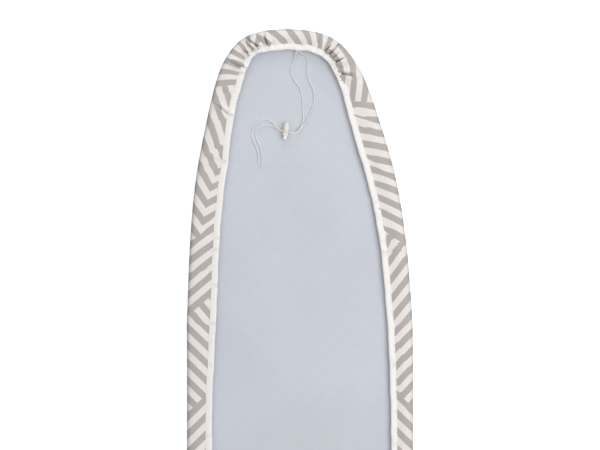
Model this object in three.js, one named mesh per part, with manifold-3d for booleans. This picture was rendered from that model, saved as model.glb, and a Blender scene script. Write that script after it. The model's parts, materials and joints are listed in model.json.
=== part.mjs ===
// A padded ironing-board cover lying face down: a printed cloth whose skirt folds up and inwards
// over a thin foam pad, bound with a tape casing that holds a drawstring. The two string ends leave
// the casing at the nose and run through a sprung cord lock.
//
// Millimetres, +Z up. The origin is on the floor under the middle of the cover, and the nose
// points towards +Y. Distances along the rim are measured from the nose tip, positive down the
// left (-X) side. "Inward" is measured from the rim towards the middle, square to the rim.
import * as THREE from "three";
import { mergeVertices } from "three/addons/utils/BufferGeometryUtils.js";
import Module from "manifold-3d";

// ---- Driving dimensions -------------------------------------------------------------------
const coverLength = 1250;
const coverWidth = 390;
const tailCornerRadius = 65;
const noseLean = 22; // how far the nose tip sits towards -X
const noseLeanLength = 600; // the lean dies out this far behind the tip
const noseLength = 510; // from the tip back to the full width
// Half width against distance behind the tip, as shares of the full half width and noseLength.
const noseProfile = [
  [0.225, 0.008],
  [0.41, 0.035],
  [0.554, 0.094],
  [0.656, 0.173],
  [0.762, 0.308],
  [0.887, 0.512],
  [0.959, 0.735],
];

const gap = 0.3; // between neighbouring pieces
const arcFacets = 8; // in the half turn of the rolled rim
const clothThickness = 1;
const padThickness = 4;
const rimHeight = 16; // of the folded edge, outside
const seamInset = 9; // where the flat face ends and the rolled rim begins
const hemHeight = 13.2; // middle of the hem and of its casing
const noseReach = 36;
const reach = {
  nominal: 46, // the hem sections are drawn at this distance inward
  // Stops along the rim from the nose tip: [place, reach], with easy changes between them.
  left: [[80, noseReach], [150, 43.7], [225, 43.7], [320, 50.5], [560, 50.5], [760, 43]],
  right: [[40, noseReach], [270, 50], [500, 44.5], [800, 37.5]],
  tail: 42,
};

const tapeWidth = 11;
const tapeWall = 0.6;
const cordDiameter = 1.8;
const cordSides = 8;

const exitPlace = -19.5; // along the rim
const exitWidth = 12; // opening of the casing
const leftLapPlace = 467; // laps of the binding tape
const rightLapPlace = -393;
const joinPatchLength = 76;
const noseSpan = 170; // half the length of the nose section of the skirt
const shoulderSpan = 460; // where the shoulders end
const tailRun = 30; // straight stretch of the tail section before its corners

const lock = {
  x: -24.7, // where the string crosses the middle of the barrel
  y: 448,
  tilt: THREE.MathUtils.degToRad(9), // of the barrel, from +Y towards +X
  outerDiameter: 10.4,
  boreDiameter: 7,
  stemDiameter: 6.4,
  roofEnd: 15.2, // closed end of the barrel, from the string
  mouthEnd: 8, // open end of the barrel, from the string
  roofWall: 2.6,
  stemTip: 14.6, // domed tip of the button, from the string
  stemTop: 5.5,
  travel: 2.2, // of the button
};
const strandPitch = cordDiameter + gap;
const spring = { wire: 0.55, outerDiameter: 5.4, turns: 4.5, sides: 6, stepsPerTurn: 14 };

// ---- Finishes -----------------------------------------------------------------------------
const finish = (color, roughness, metalness = 0) => ({ color, roughness, metalness });
const clothFinish = finish(0xcfc8c4, 0.9);
const padFinish = finish(0xccd0d9, 0.95);
const tapeFinish = finish(0xf2efec, 0.85);
const cordFinish = finish(0xf3f3f1, 0.7);
const barrelFinish = finish(0xece2d4, 0.45);
const buttonFinish = finish(0xf6f5f1, 0.35);
const springFinish = finish(0xb9bbbd, 0.35, 1);

const cover = new THREE.Group();

function addPiece(name, geometry, look, parent = cover) {
  const mesh = new THREE.Mesh(geometry, new THREE.MeshStandardMaterial(look));
  mesh.name = name;
  parent.add(mesh);
  return mesh;
}

// ---- The rim ------------------------------------------------------------------------------
const halfWidth = coverWidth / 2;
const tipY = coverLength / 2;
const tailY = -coverLength / 2;
const shoulderY = tipY - noseLength;
const r = tailCornerRadius;

const nosePoints = (side) =>
  noseProfile.map(([w, d]) => new THREE.Vector2(side * w * halfWidth, tipY - d * noseLength));

const rim = new THREE.Path();
rim.moveTo(0, tipY);
rim.splineThru([...nosePoints(-1), new THREE.Vector2(-halfWidth, shoulderY)]);
rim.lineTo(-halfWidth, tailY + r);
rim.absarc(-halfWidth + r, tailY + r, r, Math.PI, 1.5 * Math.PI, false);
rim.lineTo(halfWidth - r, tailY);
rim.absarc(halfWidth - r, tailY + r, r, 1.5 * Math.PI, 2 * Math.PI, false);
rim.lineTo(halfWidth, shoulderY);
rim.splineThru([...nosePoints(1).reverse(), new THREE.Vector2(0, tipY)]);
const rimLength = rim.getLength();

// Where the tail section starts on the left side: just before the rounded corner.
const tailHalf = halfWidth - r + (Math.PI / 2) * r;
const sideEnd = rimLength / 2 - tailHalf - tailRun;

function rimPoint(along) {
  const point = rim.getPoint(THREE.MathUtils.euclideanModulo(along, rimLength) / rimLength);
  const lean = Math.max(0, 1 - (tipY - point.y) / noseLeanLength);
  point.x -= noseLean * lean ** 2;
  return point;
}

function rimDirection(along) {
  const half = 0.5;
  return rimPoint(along + half).sub(rimPoint(along - half)).normalize();
}

// How far inward the hem lies.
function hemReach(along) {
  const signed = along > rimLength / 2 ? along - rimLength : along;
  const way = Math.abs(signed);
  const { lerp, smoothstep } = THREE.MathUtils;
  let [from, flank] = [0, noseReach];
  for (const [to, next] of signed > 0 ? reach.left : reach.right) {
    flank = lerp(flank, next, smoothstep(way, from, to));
    from = to;
  }
  return lerp(flank, reach.tail, smoothstep(way, sideEnd, rimLength / 2 - halfWidth + r));
}

// One cross-section of the rim: its place, the way inward, and the hem's reach.
function makeRing(along) {
  const point = rimPoint(along);
  const direction = rimDirection(along);
  return {
    along,
    x: point.x,
    y: point.y,
    inX: -direction.y,
    inY: direction.x,
    reach: hemReach(along),
  };
}

// All pieces share these rings, close together where the rim turns.
function makeRings() {
  const probe = 2;
  const mostTurn = THREE.MathUtils.degToRad(8);
  const mostLength = 90;
  const rings = [makeRing(0)];
  for (let along = probe; along < rimLength - probe; along += probe) {
    const last = rings[rings.length - 1];
    const next = makeRing(along + probe);
    const turn = Math.acos(Math.min(1, last.inX * next.inX + last.inY * next.inY));
    if (turn > mostTurn || next.along - last.along > mostLength) rings.push(makeRing(along));
  }
  return rings;
}

const rings = makeRings();
const turnsOfRings = [-1, 0, 1].flatMap((lap) =>
  rings.map((ring) => ({ ...ring, along: ring.along + lap * rimLength })),
);

// The rings from one place to another, with one at each end, on the same straight facets.
function ringsBetween(from, to) {
  const ends = [from, to].map((along) => {
    const after = turnsOfRings.findIndex((ring) => ring.along > along);
    const [a, b] = [turnsOfRings[after - 1], turnsOfRings[after]];
    const share = (along - a.along) / (b.along - a.along);
    const mixed = Object.keys(a).map((key) => [key, THREE.MathUtils.lerp(a[key], b[key], share)]);
    return Object.fromEntries(mixed);
  });
  const inside = turnsOfRings.filter((ring) => ring.along > from + gap && ring.along < to - gap);
  return [ends[0], ...inside, ends[1]];
}

// Extrudes a section straight, then bends the strip round the rim. The section's x is the distance
// inward, drawn with the hem at reach.nominal: its hem half follows the hem's own reach.
function alongRim(section, from, to) {
  const path = ringsBetween(from, to);
  const steps = path.length - 1;
  const options = { depth: 1, steps, curveSegments: arcFacets, bevelEnabled: false };
  const strip = new THREE.ExtrudeGeometry(section, options);
  const place = strip.attributes.position;
  for (let i = 0; i < place.count; i++) {
    const ring = path[Math.round(place.getZ(i) * steps)];
    const drawn = place.getX(i);
    const inward = drawn > reach.nominal / 2 ? drawn - reach.nominal + ring.reach : drawn;
    place.setXYZ(i, ring.x + ring.inX * inward, ring.y + ring.inY * inward, place.getY(i));
  }
  return strip;
}

// A flat plate inside the rim.
function plateInside(inset, bottom, thickness) {
  const outline = rings.map(
    (ring) => new THREE.Vector2(ring.x + ring.inX * inset, ring.y + ring.inY * inset),
  );
  const shape = new THREE.Shape(outline);
  const plate = new THREE.ExtrudeGeometry(shape, { depth: thickness, bevelEnabled: false });
  return plate.translate(0, 0, bottom);
}

// ---- Cloth and pad ------------------------------------------------------------------------
const rollRadius = rimHeight / 2;
const padBottom = clothThickness + gap;
const padTop = padBottom + padThickness;
const casingInside = cordDiameter + 2 * gap;
const casingHalf = casingInside / 2 + tapeWall;
const cordInset = tapeWall + gap + cordDiameter / 2; // string centre, outward from the hem
const flapEnd = reach.nominal - cordInset - cordDiameter / 2 - gap;
const tapeStart = reach.nominal - tapeWidth;

addPiece("cover_face", plateInside(seamInset + gap, 0, clothThickness), clothFinish);
addPiece("pad", plateInside(rollRadius, padBottom, padThickness), padFinish);

// The rolled rim: half a ring of cloth from the face up to the start of the flap.
const rollSection = new THREE.Shape();
rollSection.moveTo(seamInset, clothThickness);
rollSection.lineTo(rollRadius, clothThickness);
rollSection.absarc(
  rollRadius, rollRadius, rollRadius - clothThickness, 1.5 * Math.PI, 0.5 * Math.PI, true,
);
rollSection.lineTo(seamInset, rimHeight - clothThickness);
rollSection.lineTo(seamInset, rimHeight);
rollSection.lineTo(rollRadius, rimHeight);
rollSection.absarc(rollRadius, rollRadius, rollRadius, 0.5 * Math.PI, 1.5 * Math.PI, false);
rollSection.lineTo(seamInset, 0);

// The flap: slopes down from the rim, then runs level inside the binding.
const halfCloth = clothThickness / 2;
const kneeInward = tapeStart - 1;
const flapSection = new THREE.Shape([
  new THREE.Vector2(seamInset + gap, rimHeight - clothThickness),
  new THREE.Vector2(kneeInward, hemHeight - halfCloth),
  new THREE.Vector2(flapEnd, hemHeight - halfCloth),
  new THREE.Vector2(flapEnd, hemHeight + halfCloth),
  new THREE.Vector2(kneeInward, hemHeight + halfCloth),
  new THREE.Vector2(seamInset + gap, rimHeight),
]);

const skirtSections = [
  ["nose", -noseSpan, noseSpan],
  ["shoulder_left", noseSpan, shoulderSpan],
  ["side_left", shoulderSpan, sideEnd],
  ["tail", sideEnd, rimLength - sideEnd],
  ["side_right", rimLength - sideEnd, rimLength - shoulderSpan],
  ["shoulder_right", rimLength - shoulderSpan, rimLength - noseSpan],
];

for (const [name, from, to] of skirtSections) {
  const [start, end] = [from + gap / 2, to - gap / 2];
  addPiece(`skirt_rim_${name}`, alongRim(rollSection, start, end), clothFinish);
  addPiece(`skirt_flap_${name}`, alongRim(flapSection, start, end), clothFinish);
}

// ---- Binding tape -------------------------------------------------------------------------
// A tape folded over the edge of the flap, with the string inside its fold.
const foldChamfer = 0.9;
const tapeSection = new THREE.Shape([
  new THREE.Vector2(tapeStart, hemHeight - casingHalf),
  new THREE.Vector2(reach.nominal - foldChamfer, hemHeight - casingHalf),
  new THREE.Vector2(reach.nominal, hemHeight - casingHalf + foldChamfer),
  new THREE.Vector2(reach.nominal, hemHeight + casingHalf - foldChamfer),
  new THREE.Vector2(reach.nominal - foldChamfer, hemHeight + casingHalf),
  new THREE.Vector2(tapeStart, hemHeight + casingHalf),
  new THREE.Vector2(tapeStart, hemHeight + casingInside / 2),
  new THREE.Vector2(reach.nominal - tapeWall, hemHeight + casingInside / 2),
  new THREE.Vector2(reach.nominal - tapeWall, hemHeight - casingInside / 2),
  new THREE.Vector2(tapeStart, hemHeight - casingInside / 2),
]);
const exitLeft = exitPlace + exitWidth / 2;
const exitRight = exitPlace - exitWidth / 2;
const patchEnd = rightLapPlace - joinPatchLength;
const tapeLengths = [
  ["nose_left", exitLeft, leftLapPlace],
  ["left", leftLapPlace, sideEnd],
  ["tail", sideEnd, rimLength - sideEnd],
  ["right", rimLength - sideEnd, rimLength + patchEnd],
  ["join_right", rimLength + patchEnd, rimLength + rightLapPlace],
  ["nose_right", rimLength + rightLapPlace, rimLength + exitRight],
];
for (const [name, from, to] of tapeLengths) {
  const tape = alongRim(tapeSection, from + gap / 2, to - gap / 2);
  addPiece(`binding_${name}`, tape, tapeFinish);
}

// ---- Drawstring ---------------------------------------------------------------------------
function cordSection(x, y) {
  const corners = Array.from({ length: cordSides }, (_, i) => {
    const angle = ((i + 0.5) / cordSides) * 2 * Math.PI;
    const radius = cordDiameter / 2;
    return new THREE.Vector2(x + radius * Math.cos(angle), y + radius * Math.sin(angle));
  });
  return new THREE.Shape(corners);
}

const runInward = reach.nominal - cordInset;
const runSection = cordSection(runInward, hemHeight);
const run = alongRim(runSection, exitLeft + gap, rimLength + exitRight - gap);
addPiece("drawstring_run", run, cordFinish);

// The place in the casing where a free end takes over from the run.
function casingPlace(along) {
  const [ring] = ringsBetween(along, along + 1);
  const inward = ring.reach - cordInset;
  return [ring.x + ring.inX * inward, ring.y + ring.inY * inward, hemHeight];
}

// The lock's own axes: `through` runs along the string towards the casing, `barrel` along the
// barrel towards its closed end.
const through = new THREE.Vector3(Math.cos(lock.tilt), -Math.sin(lock.tilt), 0);
const barrel = new THREE.Vector3(Math.sin(lock.tilt), Math.cos(lock.tilt), 0);
const lockHeight = padTop + gap + lock.outerDiameter / 2;
const lockCentre = new THREE.Vector3(lock.x, lock.y, lockHeight);

// A strand is straight through the lock, one above the other.
const straightPlaces = [17, 12, 5, -5, -10];
function strandThroughLock(rise) {
  return straightPlaces.map((place) => {
    const point = lockCentre.clone().addScaledVector(through, place);
    return [point.x, point.y, point.z + rise];
  });
}

const leadOut = 1.5; // a free end starts out in line with the run
const restHeight = padTop + gap + cordDiameter / 2;
const outerRoute = [
  casingPlace(exitRight),
  casingPlace(exitRight + leadOut),
  [-3.3, 588.8, 14.1],
  [-5.5, 586.3, 13.7],
  [-6.7, 583, 11.8],
  [-7.9, 579.2, 9.2],
  [-9.8, 573.8, 7.2],
  [-13, 566.2, restHeight],
  [-15.4, 555.5, restHeight],
  [-14.6, 546, restHeight],
  [-8.6, 535.3, restHeight],
  [-1.6, 525.5, restHeight],
  [2.5, 515, restHeight],
  [4.4, 501.7, restHeight],
  [5.2, 484, restHeight],
  [5.8, 468.5, 6.9],
  [2.6, 456.5, 8.9],
  [-2.6, 448.8, 10.9],
  ...strandThroughLock(strandPitch / 2),
  [-38.6, 453.4, 10.8],
  [-43.2, 459.3, 8.8],
  [-49.5, 465.3, 6.9],
  [-59.7, 469.3, restHeight],
  [-70.4, 466.2, restHeight],
  [-78.3, 458.6, restHeight],
  [-83.1, 447.5, restHeight],
  [-82.4, 436, restHeight],
  [-76.6, 423, restHeight],
  [-72.6, 410, restHeight],
  [-71.8, 389.7, restHeight],
];
const innerRoute = [
  casingPlace(exitLeft),
  casingPlace(exitLeft - leadOut),
  [-5.8, 588.9, 12.1],
  [-3, 587.4, 11.4],
  [0.6, 585.1, 10.5],
  [4.6, 582.4, 8.9],
  [8.8, 579.8, 7.2],
  [12.6, 575.6, restHeight],
  [13.8, 568.5, restHeight],
  [12.4, 559, restHeight],
  [12.2, 549, restHeight],
  [16.3, 535.9, restHeight],
  [22.1, 522.6, restHeight],
  [24.6, 509, restHeight],
  [23.6, 495.8, restHeight],
  [19.2, 483.8, restHeight],
  [13.6, 471, restHeight],
  [6.4, 459.2, 7],
  [-1, 450.4, 8.6],
  ...strandThroughLock(-strandPitch / 2),
  [-40.6, 453, 8.4],
  [-46.6, 456.4, 7],
  [-53.5, 458.7, restHeight],
  [-61.5, 458.6, restHeight],
  [-70.2, 455.6, restHeight],
  [-76, 449, restHeight],
  [-76.6, 440, restHeight],
  [-73.3, 430, restHeight],
  [-68.6, 420, restHeight],
  [-66.2, 408, restHeight],
  [-65.9, 396, restHeight],
  [-67.1, 385.2, restHeight],
];

// A free end of the string: 80 facets along a smooth curve through the route.
function freeEnd(route) {
  const curve = new THREE.CatmullRomCurve3(route.map((point) => new THREE.Vector3(...point)));
  const options = { steps: 80, extrudePath: curve, bevelEnabled: false };
  return new THREE.ExtrudeGeometry(cordSection(0, 0), options);
}
addPiece("drawstring_end_outer", freeEnd(outerRoute), cordFinish);
addPiece("drawstring_end_inner", freeEnd(innerRoute), cordFinish);

// ---- Cord lock ----------------------------------------------------------------------------
// Drawn upright: the barrel's axis is +Z, the string passes along X at the origin, and the two
// strands lie beside each other along Y.
const wasm = await Module();
wasm.setup();

function toSolid(geometry) {
  const bare = geometry.clone();
  bare.deleteAttribute("normal");
  bare.deleteAttribute("uv");
  const merged = mergeVertices(bare, 1e-4);
  const vertProperties = new Float32Array(merged.attributes.position.array);
  const triVerts = new Uint32Array(merged.index.array);
  return new wasm.Manifold(new wasm.Mesh({ numProp: 3, vertProperties, triVerts }));
}

function toGeometry(solid) {
  const { vertProperties, triVerts } = solid.getMesh();
  const geometry = new THREE.BufferGeometry();
  geometry.setAttribute("position", new THREE.BufferAttribute(vertProperties, 3));
  geometry.setIndex(new THREE.BufferAttribute(triVerts, 1));
  geometry.computeVertexNormals();
  return geometry;
}

// Turns a closed profile of [radius, height] round the barrel's axis.
function turned(profile, segments = 32) {
  const points = profile.map(([radius, height]) => new THREE.Vector2(radius, height));
  return new THREE.LatheGeometry([...points, points[0]], segments).rotateX(Math.PI / 2);
}

const stringWindow = cordDiameter + 2 * gap;
const slotHigh = stringWindow / 2 + lock.travel;
const slotLow = -stringWindow / 2;
const slotWide = strandPitch + cordDiameter + 2 * gap;

function slotCutter(low, high) {
  const across = lock.outerDiameter * 2;
  const cutter = new THREE.BoxGeometry(across, slotWide, high - low);
  return cutter.translate(0, 0, (low + high) / 2);
}

const barrelRadius = lock.outerDiameter / 2;
const boreRadius = lock.boreDiameter / 2;
const boreEnd = lock.roofEnd - lock.roofWall;
const edgeRound = 0.8;
const noseRound = 3.4; // the closed end narrows to a rounded nose
const barrelProfile = [
  [boreRadius, -lock.mouthEnd],
  [barrelRadius - edgeRound, -lock.mouthEnd],
  [barrelRadius, -lock.mouthEnd + edgeRound],
  [barrelRadius, lock.roofEnd - noseRound - 3],
  [barrelRadius - 0.35, lock.roofEnd - noseRound],
  [barrelRadius - 1.3, lock.roofEnd - 1.5],
  [barrelRadius - 2.6, lock.roofEnd - 0.4],
  [0, lock.roofEnd],
  [0, boreEnd],
  [boreRadius, boreEnd],
];
const stemRadius = lock.stemDiameter / 2;
const stemProfile = [
  [0, -lock.stemTip],
  [stemRadius * 0.5, -lock.stemTip + 0.45],
  [stemRadius * 0.85, -lock.stemTip + 1.5],
  [stemRadius, -lock.stemTip + 3],
  [stemRadius, lock.stemTop],
  [0, lock.stemTop],
];

// A round wire wound between the stem and the end of the bore.
function springGeometry() {
  const wireRadius = spring.wire / 2;
  const windRadius = spring.outerDiameter / 2 - wireRadius;
  const low = lock.stemTop + gap + wireRadius;
  const high = boreEnd - gap - wireRadius;
  const steps = Math.round(spring.turns * spring.stepsPerTurn);
  const path = Array.from({ length: steps + 1 }, (_, i) => {
    const angle = (i / steps) * spring.turns * 2 * Math.PI;
    const height = THREE.MathUtils.lerp(low, high, i / steps);
    return new THREE.Vector3(
      windRadius * Math.cos(angle), windRadius * Math.sin(angle), height,
    );
  });
  const wire = new THREE.Shape();
  wire.absarc(0, 0, wireRadius, 0, 2 * Math.PI, false);
  return new THREE.ExtrudeGeometry(wire, {
    curveSegments: spring.sides,
    steps,
    extrudePath: new THREE.CatmullRomCurve3(path),
    bevelEnabled: false,
  });
}

const barrelSlot = toSolid(slotCutter(slotLow, slotHigh));
const stemSlot = toSolid(slotCutter(-slotHigh, -slotLow));
const barrelSolid = toSolid(turned(barrelProfile)).subtract(barrelSlot);
const stemSolid = toSolid(turned(stemProfile, 24)).subtract(stemSlot);

const cordLock = new THREE.Group();
cordLock.position.copy(lockCentre);
const lockTurn = new THREE.Matrix4().makeBasis(
  through, new THREE.Vector3(0, 0, -1), barrel,
);
cordLock.quaternion.setFromRotationMatrix(lockTurn);
cover.add(cordLock);
addPiece("cord_lock_body", toGeometry(barrelSolid), barrelFinish, cordLock);
addPiece("cord_lock_button", toGeometry(stemSolid), buttonFinish, cordLock);
addPiece("cord_lock_spring", springGeometry(), springFinish, cordLock);

export default cover;
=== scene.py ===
"""A padded ironing-board cover lying face down, with its gathered skirt, tape casing and drawstring.

The cloth is one continuous sheet: its flat face lies on the floor, its rim rolls up, and its skirt
is drawn in over the pad. Every point of it keeps its place in the flat, uncut cloth, so the print
runs on round the rim and into the gathers.
"""
import json
import logging
import math
from dataclasses import dataclass, field
from enum import Enum

import bmesh
import bpy
import numpy as np
from mathutils import Matrix, Vector
from mathutils.geometry import delaunay_2d_cdt


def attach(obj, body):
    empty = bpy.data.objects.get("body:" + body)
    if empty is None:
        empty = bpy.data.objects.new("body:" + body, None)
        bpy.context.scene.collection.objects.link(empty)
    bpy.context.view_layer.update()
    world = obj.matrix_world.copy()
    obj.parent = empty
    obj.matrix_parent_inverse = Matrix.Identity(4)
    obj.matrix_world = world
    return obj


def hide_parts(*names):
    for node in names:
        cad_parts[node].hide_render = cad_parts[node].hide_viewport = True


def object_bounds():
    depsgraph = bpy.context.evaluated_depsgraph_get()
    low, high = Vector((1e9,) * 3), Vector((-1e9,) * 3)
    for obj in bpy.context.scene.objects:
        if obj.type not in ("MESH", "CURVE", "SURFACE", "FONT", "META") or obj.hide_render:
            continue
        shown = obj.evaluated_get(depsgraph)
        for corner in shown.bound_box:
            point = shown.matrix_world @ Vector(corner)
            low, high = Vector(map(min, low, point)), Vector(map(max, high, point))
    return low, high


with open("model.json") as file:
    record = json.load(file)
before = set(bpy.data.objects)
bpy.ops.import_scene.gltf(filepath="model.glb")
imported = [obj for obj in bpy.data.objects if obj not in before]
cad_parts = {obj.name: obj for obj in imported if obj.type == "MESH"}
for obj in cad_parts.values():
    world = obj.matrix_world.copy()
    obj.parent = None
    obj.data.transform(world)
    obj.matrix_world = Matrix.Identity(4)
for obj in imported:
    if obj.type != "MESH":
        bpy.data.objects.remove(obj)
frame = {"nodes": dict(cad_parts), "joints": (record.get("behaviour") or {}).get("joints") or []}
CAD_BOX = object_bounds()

MM = 0.001
LOG = logging.getLogger("cover")
Points = np.ndarray


class Body(Enum):
    """The rigid bodies that pieces ride on."""

    COVER = "cover"
    LOCK = "cord_lock"
    BUTTON = "lock_button"


class Slot(Enum):
    """The record's material slots."""

    CLOTH = "cover_cloth"
    FOAM = "pad_foam"
    TAPE = "binding_tape"
    CORD = "drawstring_cord"
    BARREL = "lock_plastic"
    BUTTON = "button_plastic"
    STEEL = "spring_steel"


# ---- Small helpers ------------------------------------------------------------------------


def ease(value: Points, low: float, high: float) -> Points:
    """Rises smoothly from 0 at low to 1 at high.

    Args:
        value: the numbers to ease.
        low: where the rise starts.
        high: where it ends.

    Returns:
        The eased numbers, from 0 to 1.
    """
    share = np.clip((np.asarray(value, float) - low) / (high - low), 0, 1)
    return share * share * (3 - 2 * share)


def srgb(red: int, green: int, blue: int) -> tuple[float, float, float, float]:
    """A colour given as screen values from 0 to 255, as linear RGBA.

    Args:
        red: red, from 0 to 255.
        green: green.
        blue: blue.

    Returns:
        Red, green, blue and alpha, from 0 to 1.
    """

    def linear(part: int) -> float:
        share = part / 255
        return share / 12.92 if share <= 0.04045 else ((share + 0.055) / 1.055) ** 2.4

    return (linear(red), linear(green), linear(blue), 1.0)


def catmull_rom(points: Points, per_span: int) -> Points:
    """A smooth curve through points.

    Args:
        points: the points, one row each.
        per_span: how many steps to take between two points.

    Returns:
        The curve's points, one row each.
    """
    padded = np.vstack([points[:1], points, points[-1:]])
    steps = np.linspace(0, 1, per_span, endpoint=False)[:, None]
    spans = []
    for a, b, c, d in zip(padded, padded[1:], padded[2:], padded[3:]):
        v0, v1 = (c - a) / 2, (d - b) / 2
        cubic = (2 * b - 2 * c + v0 + v1) * steps**3
        square = (-3 * b + 3 * c - 2 * v0 - v1) * steps**2
        spans.append(cubic + square + v0 * steps + b)
    return np.vstack([*spans, points[-1:]])


def along_line(points: Points) -> Points:
    """The distance along a line at each of its points."""
    steps = np.linalg.norm(np.diff(points, axis=0), axis=1)
    return np.concatenate([[0], np.cumsum(steps)])


def new_object(name: str, vertices: Points, faces: list, smooth: bool = True) -> bpy.types.Object:
    """Makes a mesh object and links it to the scene.

    Args:
        name: the object's name.
        vertices: its vertices in metres, one row each.
        faces: lists of vertex numbers.
        smooth: whether its faces are shaded smooth.

    Returns:
        The new object.
    """
    mesh = bpy.data.meshes.new(name)
    mesh.from_pydata([tuple(v) for v in vertices], [], faces)
    mesh.validate()
    mesh.polygons.foreach_set("use_smooth", [smooth] * len(mesh.polygons))
    piece = bpy.data.objects.new(name, mesh)
    bpy.context.scene.collection.objects.link(piece)
    return piece


def set_flat_place(piece: bpy.types.Object, places: Points, name: str = "flat_place") -> None:
    """Stores a 2D place for each vertex as a UV map.

    Args:
        piece: the mesh object.
        places: one row of two numbers for each vertex, in metres.
        name: the UV map's name.
    """
    mesh = piece.data
    layer = mesh.uv_layers.new(name=name)
    corners = np.empty(len(mesh.loops), int)
    mesh.loops.foreach_get("vertex_index", corners)
    layer.uv.foreach_set("vector", places[corners].astype(np.float32).ravel())


def link_mesh(name: str, mesh: bmesh.types.BMesh, smooth: bool) -> bpy.types.Object:
    """Turns an edit mesh into an object of the scene, and frees it.

    Args:
        name: the object's name.
        mesh: the edit mesh.
        smooth: whether its faces are shaded smooth.

    Returns:
        The new object.
    """
    data = bpy.data.meshes.new(name)
    mesh.to_mesh(data)
    mesh.free()
    data.polygons.foreach_set("use_smooth", [smooth] * len(data.polygons))
    piece = bpy.data.objects.new(name, data)
    bpy.context.scene.collection.objects.link(piece)
    return piece


def weld(piece: bpy.types.Object) -> None:
    """Joins points that lie in the same place.

    Args:
        piece: the mesh object.
    """
    mesh = bmesh.new()
    mesh.from_mesh(piece.data)
    bmesh.ops.remove_doubles(mesh, verts=mesh.verts, dist=0.02 * MM)
    mesh.to_mesh(piece.data)
    mesh.free()


def turn_outward(piece: bpy.types.Object) -> None:
    """Turns a closed mesh's faces outward.

    Args:
        piece: the mesh object.
    """
    mesh = bmesh.new()
    mesh.from_mesh(piece.data)
    bmesh.ops.recalc_face_normals(mesh, faces=mesh.faces)
    mesh.to_mesh(piece.data)
    mesh.free()


def grid_faces(rows: int, columns: int, closed: bool) -> list:
    """Quads of a grid whose vertices are numbered row by row.

    Args:
        rows: how many rows.
        columns: how many columns.
        closed: whether the last column joins the first.

    Returns:
        Lists of four vertex numbers.
    """
    last = columns if closed else columns - 1
    return [
        [r * columns + c, r * columns + (c + 1) % columns,
         (r + 1) * columns + (c + 1) % columns, (r + 1) * columns + c]
        for r in range(rows - 1)
        for c in range(last)
    ]


def fill_inside(outline: Points, spacing: float) -> tuple[Points, list]:
    """Fills a closed outline with an even mesh.

    Args:
        outline: the outline's points in order, one row of two numbers each.
        spacing: the distance between the points inside, in metres.

    Returns:
        The points, outline first, and lists of three vertex numbers, anticlockwise from above.
    """
    low, high = outline.min(0) + spacing, outline.max(0) - spacing
    xs, ys = np.arange(low[0], high[0], spacing), np.arange(low[1], high[1], spacing)
    inside = []
    after = np.roll(outline, -1, axis=0)
    for y in ys:
        crossing = (outline[:, 1] > y) != (after[:, 1] > y)
        a, b = outline[crossing], after[crossing]
        cuts = np.sort(a[:, 0] + (y - a[:, 1]) / (b[:, 1] - a[:, 1]) * (b[:, 0] - a[:, 0]))
        if len(cuts) >= 2:
            margin = 0.6 * spacing
            inside += [(x, y) for x in xs if cuts[0] + margin < x < cuts[-1] - margin]
    points = [Vector(p) for p in (*outline, *inside)]
    edges = [(i, (i + 1) % len(outline)) for i in range(len(outline))]
    places, _, faces, _, _, _ = delaunay_2d_cdt(points, edges, [], 1, 1e-7)
    found = np.array([(p.x, p.y) for p in places])
    return found, [list(f) for f in faces]


# ---- The rim and the cloth's folds ----------------------------------------------------------


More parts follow.
